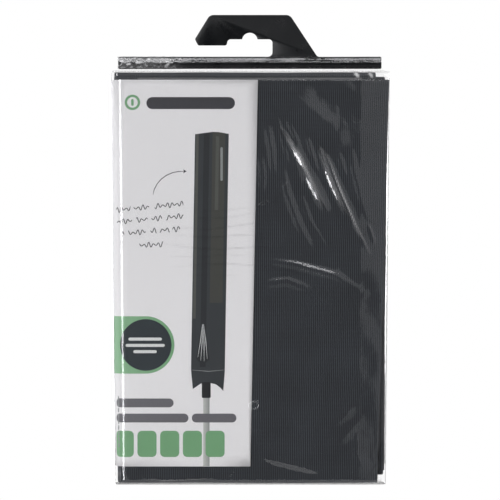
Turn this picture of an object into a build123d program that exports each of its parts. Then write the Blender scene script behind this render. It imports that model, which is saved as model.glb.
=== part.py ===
"""A folded protective cover for a rotary clothesline, in its clear hanging bag.

Frame: +Z up, the front of the pack faces -Y, +X to the right as seen from the front. The origin is
the peg's seat at the top of the euro slot, in the middle of the hanger's thickness. Millimetres.
"""

from build123d import *
import os

# ---- driving dimensions ------------------------------------------------------------------------

# Hanger: one flat plate, a hook with a euro slot on a long rail.
hanger_thickness = 1.0
hook_top = 18.0  # the hook's top edge above the peg's seat
hook_top_half = 28.3  # half the length of the top edge
hook_tip_x = -38.8  # the free end of the hook
hook_tip_height = 4.4  # the free end's flat side
slot_width = 32.0  # euro slot
slot_roof = 0.9  # the flat roof beside the seat
slot_gap = 8.1  # the way in, between the hook's free arm and the rail
slot_corner = 3.4  # the slot's rounded lower corner
foot_corner = 3.0  # the round between the hook's slope and the rail
seat_radius = 5.5  # the round seat in the roof, centred on the origin
rail_top = -11.6
rail_height = 8.4
rail_length = 186.0
hook_foot = 47.8  # where the hook's outer slope meets the rail

# Film bag. The film is drawn thicker than it is, so that it stays a solid sheet.
film = 0.2
hem_clearance = 0.1  # between the rail's faces and the hem film
hem_overhang = 0.4  # the hem is this much longer than the rail at each end
hem_slit_margin = 1.2  # the slit in the hem beside the hook's foot
neck_radius = 0.3  # the weld bead under the hem, on which the pack swings
neck_clearance = 0.05
neck_length = 1.0  # the two films lie together this far below the bead
pack_thickness = 18.0
shoulder_drop = 6.8  # the bag reaches its full thickness this far below the neck
corner_drop = 1.4  # and its full width this far below the neck
roof_drop = 1.7  # the end of the flat part of the bag's roof, below the neck
ridge_half = 4.2  # half the thickness at the end of the flat part of the roof
pack_length = 292.2  # from the neck to the bag's bottom fold
top_width = 197.2
bottom_width = 191.2
vent_diameter = 4.0
vent_x = 3.4
vent_height = 56.0  # above the bottom fold
mouth_height = 13.0  # the back panel's free edge above the bottom fold

# Closing flap and its strip of glue, on the back.
flap_height = 50.0
flap_inset = 1.6  # the flap is narrower than the bag by this on each side
flap_gap = 0.25  # between the back panel and the flap
glue_width = 8.0
glue_margin = 3.0  # from the flap's free edge
glue_thickness = 0.15

# Wrap card.
card_thickness = 0.4
card_gap = 0.3  # between the film and the card, and between the card and the cloth
card_top_drop = 1.3  # below the shoulder
card_bottom_rise = 13.2  # above the bag's bottom fold
card_right_top = 5.7
card_right_bottom = 0.4
card_cut_room = 10.0  # how far the hollow is cut past the card's free edges

# Folded cover: three groups of plies, front, middle and rear.
leaf_top_drop = 0.7  # the front and rear folds lie this far below the shoulder
middle_top_drop = 2.1  # the middle fold lies this far below the neck
bottom_gap = 0.7  # between the lowest fold and the bag's bottom
front_plies = 5.6
middle_plies = 4.8
front_right_inset = 5.4  # the front leaf's lower right corner lies this far in
middle_right_inset = 9.6
rear_bottom_rise = 7.4  # the rear leaf ends this far above the front one
binding_height = 12.0
binding_thickness = 1.8

# Top cap: the cloth that closes the cover's upper end, tucked between the front leaf's plies.
cap_width = 160.0
cap_depth = 90.0
cap_thickness = 1.1
cap_edge = 1.0  # below the front leaf's top fold
cap_from_front = 2.4  # plies in front of it

# Zip: two tapes, two rows of teeth and a slider, along the rear leaf's outer face.
zip_x = 46.0
zip_face_gap = 0.3  # between the slider's bail and the film
tape_width = 14.0
tape_thickness = 0.5
teeth_width = 2.6
teeth_thickness = 1.2
teeth_gap = 1.2  # between the two rows, for the slider's post
zip_top_room = 26.0  # from the rear leaf's top fold to the upper end of the tapes
zip_low_room = 3.0  # from the hem to the lower end of the tapes
slider_width = 9.6
slider_length = 11.0
plate_thickness = 0.8
slider_clearance = 0.2
slider_wall = 1.2
slider_start = 21.0  # the parked slider's middle above the lower end of the tapes
bail_width = 3.0
bail_length = 7.0
bail_height = 2.2
bail_wire = 0.6
puller_length = 21.0
puller_width = 7.0
puller_clearance = 0.08
stop_height = 2.4
stop_rise = 3.0  # the stops' distance from the ends of the tapes
groove_margin = 1.6  # the gap in the cloth beside the tapes
slider_groove_margin = 2.0  # and beside the slider's inner plate
groove_room = 0.2  # behind the slider's inner plate

# Care label, sewn to the rear leaf beside the zip.
label_width = 20.0
label_height = 34.0
label_thickness = 0.25
label_x = 78.0
label_rise = 44.0  # above the hem

# ---- places worked out from them ---------------------------------------------------------------

slot_half = slot_width / 2
tip_low = rail_top + slot_gap
rail_bottom = rail_top - rail_height
hem_inner_y = hanger_thickness / 2 + hem_clearance
hem_bottom = rail_bottom - hem_clearance - film
neck_z = hem_bottom - neck_clearance - neck_radius
shoulder_z = neck_z - shoulder_drop
bottom_z = neck_z - pack_length
half_pack = pack_thickness / 2
neck_half_width = rail_length / 2 + hem_overhang
corner_z = neck_z - corner_drop
edge_slope = (top_width - bottom_width) / 2 / (corner_z - bottom_z)
card_outer = half_pack - film - card_gap
card_inner = card_outer - card_thickness
cloth_half = card_inner - card_gap
front_y = -cloth_half + front_plies
rear_y = front_y + middle_plies
leaf_top = shoulder_z - leaf_top_drop
leaf_bottom = bottom_z + film + bottom_gap
middle_top = neck_z - middle_top_drop
hem_z = leaf_bottom + rear_bottom_rise
bail_y = half_pack - film - zip_face_gap - bail_height / 2
top_plate_y = bail_y - bail_height / 2 - plate_thickness / 2
teeth_y = top_plate_y - plate_thickness / 2 - slider_clearance - teeth_thickness / 2
tape_y = teeth_y - teeth_thickness / 2 - tape_thickness / 2
tape_inner = tape_y - tape_thickness / 2
low_plate_y = tape_inner - slider_clearance - plate_thickness / 2
groove_floor = low_plate_y - plate_thickness / 2 - groove_room
puller_pin = bail_height / 2 - bail_wire - puller_clearance
zip_low = hem_z + zip_low_room
zip_high = leaf_top - zip_top_room
zip_length = zip_high - zip_low
zip_middle_z = (zip_low + zip_high) / 2
slider_z = zip_low + slider_start


def edge_x(z: float, inset: float) -> float:
    """The bag's half width at a height, drawn in by inset."""
    return top_width / 2 - edge_slope * (corner_z - z) - inset


def bag_envelope(inset: float) -> Part:
    """The closed bag's outer shape, drawn in by inset on every side."""
    with BuildPart() as envelope:
        with BuildSketch(Plane.XZ):
            with BuildLine():
                Polyline(
                    (-neck_half_width, neck_z),
                    (neck_half_width, neck_z),
                    (top_width / 2, corner_z),
                    (bottom_width / 2, bottom_z),
                    (-bottom_width / 2, bottom_z),
                    (-top_width / 2, corner_z),
                    close=True,
                )
            make_face()
            offset(amount=-inset, kind=Kind.INTERSECTION)
        extrude(amount=pack_thickness, both=True)
        with BuildSketch(Plane.YZ):
            with BuildLine():
                Polyline(
                    (-neck_radius, neck_z),
                    (neck_radius, neck_z),
                    (neck_radius, neck_z - neck_length),
                    (ridge_half, neck_z - roof_drop),
                    (half_pack, shoulder_z),
                    (half_pack, bottom_z),
                    (-half_pack, bottom_z),
                    (-half_pack, shoulder_z),
                    (-ridge_half, neck_z - roof_drop),
                    (-neck_radius, neck_z - neck_length),
                    close=True,
                )
            make_face()
            offset(amount=-inset, kind=Kind.INTERSECTION)
        extrude(amount=top_width, both=True, mode=Mode.INTERSECT)
    return envelope.part


def save(name: str, piece: BuildPart) -> None:
    """Label a finished piece and write it as a STEP file of its own."""
    piece.part.label = name
    export_step(piece.part, f"parts/{name}.step")


os.makedirs("parts", exist_ok=True)

# ---- hanger ------------------------------------------------------------------------------------

with BuildPart() as hanger:
    with BuildSketch(Plane.XZ) as hanger_face:
        with BuildLine():
            Polyline(
                (-hook_top_half, hook_top),
                (hook_top_half, hook_top),
                (hook_foot, rail_top),
                (slot_half, rail_top),
                (slot_half, slot_roof),
                (-slot_half, slot_roof),
                (-slot_half, tip_low),
                (hook_tip_x + hook_tip_height / 2, tip_low),
                (hook_tip_x, tip_low + hook_tip_height),
                close=True,
            )
        make_face()
        with Locations((0, rail_top - rail_height / 2)):
            Rectangle(rail_length, rail_height)
        Circle(seat_radius, mode=Mode.SUBTRACT)
        for corner, radius in (
            ((-hook_top_half, hook_top), 5.0),
            ((hook_top_half, hook_top), 5.0),
            ((hook_foot, rail_top), foot_corner),
            ((slot_half, rail_top), slot_corner),
            ((slot_half, slot_roof), 2.6),
            ((-slot_half, slot_roof), 2.6),
            ((-slot_half, tip_low), 1.8),
            ((hook_tip_x + hook_tip_height / 2, tip_low), 1.8),
            ((hook_tip_x, tip_low + hook_tip_height), 1.6),
            ((-rail_length / 2, rail_top), 1.2),
            ((rail_length / 2, rail_top), 1.2),
            ((-rail_length / 2, rail_bottom), 1.2),
            ((rail_length / 2, rail_bottom), 1.2),
        ):
            fillet(hanger_face.vertices().sort_by_distance(corner)[0], radius)
    extrude(amount=hanger_thickness / 2, both=True)
save("hanger", hanger)

# ---- header hem: a flat loop of film round the rail, slit where the hook stands up ---------------

with BuildPart() as header_hem:
    with BuildSketch(Plane.YZ):
        with Locations((0, (rail_top + film + hem_bottom) / 2)):
            Rectangle(2 * (hem_inner_y + film), rail_top + film - hem_bottom)
        with Locations((0, (rail_top + hem_bottom + film) / 2)):
            Rectangle(2 * hem_inner_y, rail_top - hem_bottom - film, mode=Mode.SUBTRACT)
    extrude(amount=neck_half_width, both=True)
    slit_left = slot_half - slot_corner - hem_slit_margin
    slit_right = hook_foot + foot_corner + hem_slit_margin
    with Locations(((slit_left + slit_right) / 2, 0, rail_top)):
        Box(slit_right - slit_left, pack_thickness, 4 * film, mode=Mode.SUBTRACT)
save("header_hem", header_hem)

# ---- bag: a front and a back panel joined at the side seams --------------------------------------

bag_outside = bag_envelope(0)
bag_inside = bag_envelope(film)

with BuildPart() as neck_bead:
    with Locations(Location((0, 0, neck_z), (0, 90, 0))):
        Cylinder(neck_radius, 2 * neck_half_width)

with BuildPart() as bag_front:
    add(bag_outside)
    add(bag_inside, mode=Mode.SUBTRACT)
    split(bisect_by=Plane.XZ, keep=Keep.TOP)
    add(neck_bead.part)
    with Locations(Plane((vent_x, -half_pack, bottom_z + vent_height), z_dir=(0, -1, 0))):
        Hole(vent_diameter / 2, depth=4 * film)
save("bag_front", bag_front)

with BuildPart() as bag_back:
    add(bag_outside)
    add(bag_inside, mode=Mode.SUBTRACT)
    split(bisect_by=Plane.XZ, keep=Keep.BOTTOM)
    add(neck_bead.part, mode=Mode.SUBTRACT)
    with Locations((0, half_pack, bottom_z + mouth_height / 2 + film)):
        Box(bottom_width - 4 * film, 4 * film, mouth_height, mode=Mode.SUBTRACT)
save("bag_back", bag_back)

# ---- closing flap: hinged on the bag's bottom fold, lying up the back ----------------------------

flap_y = half_pack + flap_gap + film / 2
flap_z = bottom_z + film / 2
flap_width = bottom_width - 2 * flap_inset

with BuildPart() as bag_flap:
    with BuildSketch(Plane.YZ):
        with Locations((flap_y, flap_z + flap_height / 2)):
            Rectangle(film, flap_height)
        with Locations((flap_y, flap_z)):
            Circle(film / 2)
    extrude(amount=flap_width / 2, both=True)
save("bag_flap", bag_flap)

with BuildPart() as flap_adhesive:
    glue_z = flap_z + flap_height - glue_margin - glue_width / 2
    with Locations((0, flap_y - film / 2 - glue_thickness / 2, glue_z)):
        Box(flap_width - 2 * glue_margin, glue_thickness, glue_width)
save("flap_adhesive", flap_adhesive)

# ---- wrap card: front panel, spine round the left edge, back panel -------------------------------

card_top = shoulder_z - card_top_drop
card_bottom = bottom_z + card_bottom_rise


def card_block(half_depth: float, left_inset: float, room: float) -> Part:
    """The card's front outline as a block, reaching past its free edges by room."""
    with BuildPart() as block:
        with BuildSketch(Plane.XZ):
            with BuildLine():
                Polyline(
                    (-edge_x(card_top + room, left_inset), card_top + room),
                    (card_right_top + room, card_top + room),
                    (card_right_bottom + room, card_bottom - room),
                    (-edge_x(card_bottom - room, left_inset), card_bottom - room),
                    close=True,
                )
            make_face()
        extrude(amount=half_depth, both=True)
    return block.part


with BuildPart() as insert_card:
    add(card_block(card_outer, film + card_gap, 0))
    add(
        card_block(card_inner, film + card_gap + card_thickness, card_cut_room),
        mode=Mode.SUBTRACT,
    )
save("insert_card", insert_card)

# ---- folded cover --------------------------------------------------------------------------------

cloth_inset = film + 2 * card_gap + card_thickness


def leaf(
    top: float, bottom: float, front: float, back: float, top_in: float, bottom_in: float
) -> Part:
    """One group of plies from front to back in Y, its right edge drawn in by two insets."""
    with BuildPart() as plies:
        with BuildSketch(Plane.XZ.offset(-back)):
            with BuildLine():
                Polyline(
                    (-edge_x(top, cloth_inset), top),
                    (edge_x(top, cloth_inset + top_in), top),
                    (edge_x(bottom, cloth_inset + bottom_in), bottom),
                    (-edge_x(bottom, cloth_inset), bottom),
                    close=True,
                )
            make_face()
        extrude(amount=back - front)
    return plies.part


cap_middle_y = -cloth_half + cap_from_front + cap_thickness / 2
cap_middle_z = leaf_top - cap_edge - cap_depth / 2
binding_front = cloth_half - binding_thickness
groove_half = teeth_gap / 2 + tape_width + groove_margin
groove_top = zip_high + groove_margin
groove_bottom = hem_z - groove_margin

with BuildPart() as zip_groove:
    with Locations((zip_x, (tape_inner + half_pack) / 2, (groove_top + groove_bottom) / 2)):
        Box(2 * groove_half, half_pack - tape_inner, groove_top - groove_bottom)
    with Locations((zip_x, (groove_floor + tape_inner) / 2, (groove_top + groove_bottom) / 2)):
        Box(
            slider_width + 2 * slider_groove_margin,
            tape_inner - groove_floor,
            groove_top - groove_bottom,
        )

with BuildPart() as cover_panel:
    add(leaf(leaf_top, leaf_bottom, -cloth_half, front_y, 0, front_right_inset))
    add(leaf(middle_top, leaf_bottom, front_y, rear_y, middle_right_inset, front_right_inset))
    add(leaf(leaf_top, hem_z, rear_y, cloth_half, 0, 0))
    # the slot between the front leaf's plies, open at the top, that holds the cap
    with Locations((0, cap_middle_y, cap_middle_z + cap_edge / 2)):
        Box(cap_width, cap_thickness, cap_depth + cap_edge, mode=Mode.SUBTRACT)
    with Locations((0, cloth_half - binding_thickness / 2, hem_z + binding_height / 2)):
        Box(top_width, binding_thickness, binding_height, mode=Mode.SUBTRACT)
    add(zip_groove.part, mode=Mode.SUBTRACT)
save("cover_panel", cover_panel)

with BuildPart() as cover_top_cap:
    with Locations((0, cap_middle_y, cap_middle_z)):
        Box(cap_width, cap_thickness, cap_depth)
save("cover_top_cap", cover_top_cap)

with BuildPart() as cover_hem_binding:
    add(leaf(hem_z + binding_height, hem_z, binding_front, cloth_half, 0, 0))
    add(zip_groove.part, mode=Mode.SUBTRACT)
save("cover_hem_binding", cover_hem_binding)

with BuildPart() as care_label:
    label_z = hem_z + label_rise + label_height / 2
    with Locations((label_x, cloth_half + label_thickness / 2, label_z)):
        Box(label_width, label_thickness, label_height)
save("care_label", care_label)

# ---- zip -----------------------------------------------------------------------------------------

tape_offset = teeth_gap / 2 + tape_width / 2
teeth_offset = teeth_gap / 2 + teeth_width / 2
teeth_length = zip_length - 4 * stop_rise

for side, name in ((-1, "left"), (1, "right")):
    with BuildPart() as zip_tape:
        with Locations((zip_x + side * tape_offset, tape_y, zip_middle_z)):
            Box(tape_width, tape_thickness, zip_length)
    save(f"zip_tape_{name}", zip_tape)
    with BuildPart() as zip_coil:
        with Locations((zip_x + side * teeth_offset, teeth_y, zip_middle_z)):
            Box(teeth_width, teeth_thickness, teeth_length)
    save(f"zip_coil_{name}", zip_coil)

with BuildPart() as zip_top_stops:
    with Locations(
        (zip_x - teeth_offset, teeth_y, zip_low + stop_rise),
        (zip_x + teeth_offset, teeth_y, zip_low + stop_rise),
    ):
        Box(teeth_width, teeth_thickness, stop_height)
save("zip_top_stops", zip_top_stops)

with BuildPart() as zip_bottom_stop:
    with Locations((zip_x, teeth_y, zip_high - stop_rise)):
        Box(2 * teeth_width + teeth_gap, teeth_thickness, stop_height)
save("zip_bottom_stop", zip_bottom_stop)

post_width = teeth_gap - 2 * slider_clearance
wall_offset = slider_width / 2 - slider_wall / 2

with BuildPart() as zip_slider:
    with Locations((zip_x, top_plate_y, slider_z), (zip_x, low_plate_y, slider_z)):
        Box(slider_width, plate_thickness, slider_length)
    # the post between the two rows of teeth holds the plates together
    with Locations((zip_x, (top_plate_y + low_plate_y) / 2, slider_z)):
        Box(post_width, top_plate_y - low_plate_y, slider_length / 3)
    # side walls beside the teeth, clear of the tapes
    with Locations(
        (zip_x - wall_offset, teeth_y + slider_clearance, slider_z),
        (zip_x + wall_offset, teeth_y + slider_clearance, slider_z),
    ):
        Box(slider_wall, teeth_thickness, slider_length)
    # the bail that carries the puller, a flat arch along the slider
    with Locations((zip_x, bail_y, slider_z)):
        Box(bail_width, bail_height, bail_length)
        Box(
            bail_width,
            bail_height - 2 * bail_wire,
            bail_length - 2 * bail_wire,
            mode=Mode.SUBTRACT,
        )
save("zip_slider", zip_slider)

# The puller hangs by a pin through the bail, round about the hinge axis, and lies over the teeth.
puller_hinge_z = slider_z - bail_length / 2 + bail_wire + puller_pin + puller_clearance
eye_length = 2 * bail_wire + 2 * puller_clearance

with BuildPart() as zip_puller:
    with BuildSketch(Plane.YZ.offset(zip_x)):
        with Locations((bail_y, puller_hinge_z)):
            Circle(puller_pin)
    extrude(amount=puller_width / 2, both=True)
    with Locations((zip_x, bail_y, puller_hinge_z - puller_length / 2)):
        Box(puller_width, 2 * puller_pin, puller_length)
    # the eye that clears the bail's lower leg
    with Locations((zip_x, bail_y, puller_hinge_z - puller_pin - eye_length / 2)):
        Box(bail_width + 4 * puller_clearance, bail_height, eye_length, mode=Mode.SUBTRACT)
save("zip_puller", zip_puller)
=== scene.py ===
"""Looks of a folded rotary clothesline cover in its clear hanging bag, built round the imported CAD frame."""

import logging
import math
from dataclasses import dataclass
from enum import Enum
from math import cos, hypot, pi, radians, sin, tau
from typing import Callable, Iterable, Sequence

import bmesh
import bpy
import numpy as np
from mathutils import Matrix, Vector, noise
from mathutils.geometry import delaunay_2d_cdt


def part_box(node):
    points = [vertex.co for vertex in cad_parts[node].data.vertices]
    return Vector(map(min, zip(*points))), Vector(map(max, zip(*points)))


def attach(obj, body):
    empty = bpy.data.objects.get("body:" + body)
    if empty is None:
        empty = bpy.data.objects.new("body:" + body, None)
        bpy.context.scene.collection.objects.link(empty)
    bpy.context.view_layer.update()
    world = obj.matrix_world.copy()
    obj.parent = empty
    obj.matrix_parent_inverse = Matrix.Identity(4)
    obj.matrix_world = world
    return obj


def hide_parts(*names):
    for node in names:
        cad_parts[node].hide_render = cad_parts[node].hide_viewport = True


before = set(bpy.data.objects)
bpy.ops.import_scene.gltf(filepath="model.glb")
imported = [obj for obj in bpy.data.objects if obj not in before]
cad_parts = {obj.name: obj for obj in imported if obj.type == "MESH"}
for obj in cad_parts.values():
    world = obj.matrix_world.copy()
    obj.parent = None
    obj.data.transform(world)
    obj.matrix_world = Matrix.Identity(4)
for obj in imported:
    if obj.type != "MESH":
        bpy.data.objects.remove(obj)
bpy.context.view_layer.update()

log = logging.getLogger("cover_pack")
MM = 0.001
Point = tuple[float, float]
Piece = bpy.types.Object
Material = bpy.types.Material
Node = bpy.types.Node
Tree = bpy.types.NodeTree
Colour = tuple[float, float, float, float]


# ---- small tools ------------------------------------------------------------------------------


def linear(code: str) -> Colour:
    """Turn an sRGB hex colour into linear RGBA.

    Args:
        code: six hex digits, such as "2B2F33".

    Returns:
        The linear red, green, blue and an alpha of 1.
    """
    parts = [int(code[i : i + 2], 16) / 255 for i in (0, 2, 4)]
    red, green, blue = (p / 12.92 if p <= 0.04045 else ((p + 0.055) / 1.055) ** 2.4 for p in parts)
    return (red, green, blue, 1.0)


def add_node(tree: Tree, kind: str, settings: dict | None = None, links: dict | None = None) -> Node:
    """Add a node with its settings and links.

    Args:
        tree: the node tree.
        kind: the node's type name; a shader node goes without its prefix.
        settings: property or socket values; a key is a property, a socket's name or its index.
        links: what to join to each input, by its name or index: an output, or a node for its first output.

    Returns:
        The new node.
    """
    node = tree.nodes.new(kind if kind.startswith(("Geometry", "Function", "NodeGroup")) else f"ShaderNode{kind}")
    for key, value in (settings or {}).items():
        if isinstance(key, str) and key.islower() and hasattr(node, key):
            setattr(node, key, value)
        else:
            node.inputs[key].default_value = value
    for key, source in (links or {}).items():
        tree.links.new(source.outputs[0] if isinstance(source, Node) else source, node.inputs[key])
    return node


def smooth(edge_low: float, edge_high: float, value: float) -> float:
    """A smooth step from 0 at the low edge to 1 at the high edge."""
    t = min(1.0, max(0.0, (value - edge_low) / (edge_high - edge_low)))
    return t * t * (3 - 2 * t)


def ripple(x: float, y: float, size: float, seed: float) -> float:
    """Smooth noise from about -1 to 1 with features of a size in millimetres."""
    return noise.noise(Vector((x / size, y / size, seed)))


def grid_faces(rows: int, cols: int, wrap: bool = False) -> list[tuple[int, ...]]:
    """Faces of a grid of points stored row by row.

    Args:
        rows: number of rows.
        cols: number of points in a row.
        wrap: whether a row's last point joins its first.

    Returns:
        The quads as point indices.
    """
    span = cols if wrap else cols - 1
    return [(r * cols + c, r * cols + (c + 1) % cols, (r + 1) * cols + (c + 1) % cols, (r + 1) * cols + c)
        for r in range(rows - 1) for c in range(span)]


def new_piece(name: str, points: Iterable[Sequence[float]], faces: Iterable[Sequence[int]],
        material: Material, rounded: bool = True) -> Piece:
    """Make a mesh object from points in millimetres.

    Args:
        name: the piece's name.
        points: the corners, in millimetres in the shared frame.
        faces: the faces as point indices.
        material: its finish.
        rounded: whether its shading is smooth.

    Returns:
        The object, at the origin, linked to the scene.
    """
    mesh = bpy.data.meshes.new(name)
    mesh.from_pydata([[c * MM for c in p] for p in points], [], [list(f) for f in faces])
    mesh.materials.append(material)
    mesh.polygons.foreach_set("use_smooth", [rounded] * len(mesh.polygons))
    mesh.update()
    piece = bpy.data.objects.new(name, mesh)
    bpy.context.scene.collection.objects.link(piece)
    return piece


def map_grid(piece: Piece, columns: int, step_x: float, step_y: float) -> None:
    """Lay the weave along a grid of points.

    Args:
        piece: a mesh of grid_faces.
        columns: number of points in a row.
        step_x: the cloth's length from a point to the next in a row, in millimetres.
        step_y: the same from row to row.
    """
    layer = piece.data.uv_layers.new(name="cloth")
    for loop in piece.data.loops:
        row, column = divmod(loop.vertex_index, columns)
        layer.data[loop.index].uv = (column * step_x * MM, row * step_y * MM)


def whiten(piece: Piece, values: Iterable[float]) -> None:
    """Store how white each point of a film is, from 0 to 1: whitening from handling along folds, and on some folds a
    painted highlight.
    """
    crease_and_highlight = piece.data.attributes.new("crease_and_highlight", "FLOAT", "POINT")
    crease_and_highlight.data.foreach_set("value", np.array(values, np.float32))


def settle(piece: Piece) -> Piece:
    """Apply a piece's modifiers, so that its mesh is its final shape."""
    graph = bpy.context.evaluated_depsgraph_get()
    graph.update()
    mesh = bpy.data.meshes.new_from_object(piece.evaluated_get(graph))
    piece.modifiers.clear()
    piece.data = mesh
    return piece


def thicken(piece: Piece, thickness: float, offset: float = 0.0) -> Piece:
    """Give a sheet its thickness in millimetres; offset -1 grows it inwards, 1 outwards."""
    wall = piece.modifiers.new("thickness", "SOLIDIFY")
    wall.thickness = thickness * MM
    wall.offset = offset
    wall.use_even_offset = True
    wall.use_quality_normals = True
    return settle(piece)


def outward(piece: Piece) -> Piece:
    """Merge a closed mesh's doubles and point its faces outwards."""
    mesh = bmesh.new()
    mesh.from_mesh(piece.data)
    bmesh.ops.remove_doubles(mesh, verts=mesh.verts, dist=1e-6)
    bmesh.ops.recalc_face_normals(mesh, faces=mesh.faces)
    mesh.to_mesh(piece.data)
    mesh.free()
    return piece


def soften(piece: Piece, width: float, segments: int = 2) -> Piece:
    """Round a hard piece's edges by a width in millimetres."""
    bevel = piece.modifiers.new("edge", "BEVEL")
    bevel.width = width * MM
    bevel.segments = segments
    bevel.limit_method = "ANGLE"
    bevel.angle_limit = radians(30)
    bevel.use_clamp_overlap = True
    settle(piece)
    piece.data.polygons.foreach_set("use_smooth", [True] * len(piece.data.polygons))
    piece.data.set_sharp_from_angle(angle=radians(40))
    return piece


def rect(x0: float, z0: float, x1: float, z1: float) -> list[Point]:
    """A rectangle's corners between two opposite ones."""
    return [(x0, z0), (x1, z0), (x1, z1), (x0, z1)]


def prism(name: str, outline: Sequence[Point], low: float, high: float, material: Material) -> Piece:
    """A plate with an outline in X and Z, between two depths in Y.

    Args:
        name: the piece's name.
        outline: its corners (x, z) in millimetres, in order.
        low: front depth.
        high: back depth.
        material: its finish.

    Returns:
        The closed solid.
    """
    count = len(outline)
    points = [(x, low, z) for x, z in outline] + [(x, high, z) for x, z in outline]
    faces = [tuple(range(count)), tuple(range(2 * count - 1, count - 1, -1))]
    faces += [(i, i + count, (i + 1) % count + count, (i + 1) % count) for i in range(count)]
    return outward(new_piece(name, points, faces, material, rounded=False))


def joined(name: str, pieces: Sequence[Piece]) -> Piece:
    """Join several pieces into the first one's mesh and name it."""
    mesh = bmesh.new()
    materials = []
    for piece in pieces:
        start = len(mesh.faces)
        mesh.from_mesh(piece.data)
        mesh.faces.ensure_lookup_table()
        for face in mesh.faces[start:]:
            material = piece.data.materials[face.material_index]
            if material not in materials:
                materials.append(material)
            face.material_index = materials.index(material)
    data = bpy.data.meshes.new(name)
    mesh.to_mesh(data)
    mesh.free()
    for material in materials:
        data.materials.append(material)
    for piece in pieces:
        bpy.data.objects.remove(piece)
    result = bpy.data.objects.new(name, data)
    bpy.context.scene.collection.objects.link(result)
    return result


def grown(name: str, group: Tree, inputs: dict[str, object], base: Piece) -> Piece:
    """Run a Geometry Nodes tree on a base mesh and keep the result as a plain mesh.

    Args:
        name: the piece's name.
        group: the tree.
        inputs: values by the names of the tree's inputs.
        base: the object whose mesh the tree starts from.

    Returns:
        The base object with the grown mesh.
    """
    modifier = base.modifiers.new(name, "NODES")
    modifier.node_group = group
    for item in group.interface.items_tree:
        if item.item_type == "SOCKET" and item.in_out == "INPUT" and item.name in inputs:
            modifier[item.identifier] = inputs[item.name]
    settle(base)
    base.name = name
    return base


def start_rows(name: str, sizes: dict[str, float], finish: str) -> tuple[Tree, Node, Node]:
    """Start a tree that sets copies of something along lines, a pitch apart.

    Args:
        name: the tree's name.
        sizes: its inputs in millimetres, with Pitch among them.
        finish: the name of its material input.

    Returns:
        The tree, its input node and the resampled curve.
    """
    group = bpy.data.node_groups.new(name, "GeometryNodeTree")
    group.interface.new_socket("Geometry", in_out="INPUT", socket_type="NodeSocketGeometry")
    for key, value in sizes.items():
        socket = group.interface.new_socket(key, in_out="INPUT", socket_type="NodeSocketFloat")
        socket.default_value = value * MM
    group.interface.new_socket(finish, in_out="INPUT", socket_type="NodeSocketMaterial")
    group.interface.new_socket("Geometry", in_out="OUTPUT", socket_type="NodeSocketGeometry")
    given = add_node(group, "NodeGroupInput")
    curve = add_node(group, "GeometryNodeMeshToCurve", {}, {"Mesh": given})
    links = {"Curve": curve, "Length": given.outputs["Pitch"]}
    return group, given, add_node(group, "GeometryNodeResampleCurve", {"mode": "LENGTH"}, links)


def end_rows(group: Tree, rows: Node, finish: bpy.types.NodeSocket) -> Tree:
    """Turn the tree's copies into a mesh, dress it and join it to the output."""
    real = add_node(group, "GeometryNodeRealizeInstances", {}, {"Geometry": rows})
    dressed = add_node(group, "GeometryNodeSetMaterial", {}, {"Geometry": real, "Material": finish})
    add_node(group, "NodeGroupOutput", {}, {"Geometry": dressed})
    return group


# ---- finishes ---------------------------------------------------------------------------------


@dataclass(frozen=True)
class Finish:
    """A procedural material; each kind of surface adds its own nodes."""

    name: str

    def skin(self, tree: Tree, place: Node) -> Node:
        """Add the finish's own nodes and return the surface."""
        raise NotImplementedError

    def material(self) -> Material:
        """Build the material.

        Returns:
            The finished material.
        """
        made = bpy.data.materials.new(self.name)
        made.use_nodes = True
        tree = made.node_tree
        tree.nodes.clear()
        surface = self.skin(tree, add_node(tree, "TexCoord"))
        add_node(tree, "OutputMaterial", {}, {"Surface": surface})
        return made


@dataclass(frozen=True)
class WovenCloth(Finish):
    """Polyester cloth, woven from thick threads: matt, with fine ribs down its length."""

    thread: str
    gap: str
    rib_mm: float = 1.1
    pick_mm: float = 0.9
    roughness: float = 0.74
    bump: float = 0.35

    def skin(self, tree: Tree, place: Node) -> Node:
        """Add the finish's own nodes; the weave follows the cloth through its UV map, in metres.

        Args:
            tree: the material's nodes.
            place: the texture coordinates.

        Returns:
            The surface.
        """
        # the ribs lie rib_mm apart, wide enough to show; the real weave may be finer
        ribs = add_node(tree, "TexWave", {"wave_type": "BANDS", "bands_direction": "X",
            "Scale": tau / 20 / (self.rib_mm * MM), "Distortion": 0.4, "Detail": 1.0},
            {"Vector": place.outputs["UV"]})
        picks = add_node(tree, "TexWave", {"wave_type": "BANDS", "bands_direction": "Y",
            "Scale": tau / 20 / (self.pick_mm * MM), "Distortion": 0.6, "Detail": 1.0},
            {"Vector": place.outputs["UV"]})
        weave = add_node(tree, "Math", {"operation": "MULTIPLY_ADD", 1: 0.35}, {0: picks.outputs["Fac"],
            2: ribs.outputs["Fac"]})
        # dye and handling make broad, faint clouds of 30 mm
        cloud = add_node(tree, "TexNoise", {"Scale": 1 / (30 * MM), "Detail": 3.0, "Roughness": 0.6},
            {"Vector": place.outputs["Object"]})
        tone = add_node(tree, "MapRange", {"From Min": 0.1, "From Max": 1.25, "To Min": 0.0, "To Max": 1.0},
            {"Value": weave})
        threads = add_node(tree, "Mix", {"data_type": "RGBA", 6: linear(self.gap), 7: linear(self.thread)}, {0: tone})
        fade = add_node(tree, "MapRange", {"From Min": 0.3, "From Max": 0.7, "To Min": 0.86, "To Max": 1.14},
            {"Value": cloud})
        cloth = add_node(tree, "VectorMath", {"operation": "SCALE"}, {0: threads.outputs[2], "Scale": fade})
        relief = add_node(tree, "Bump", {"Strength": self.bump, "Distance": 0.12 * MM}, {"Height": weave})
        return add_node(tree, "BsdfPrincipled", {"Roughness": self.roughness, "Sheen Weight": 0.25,
            "Sheen Roughness": 0.5, "Specular IOR Level": 0.4}, {"Base Color": cloth, "Normal": relief})


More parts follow.
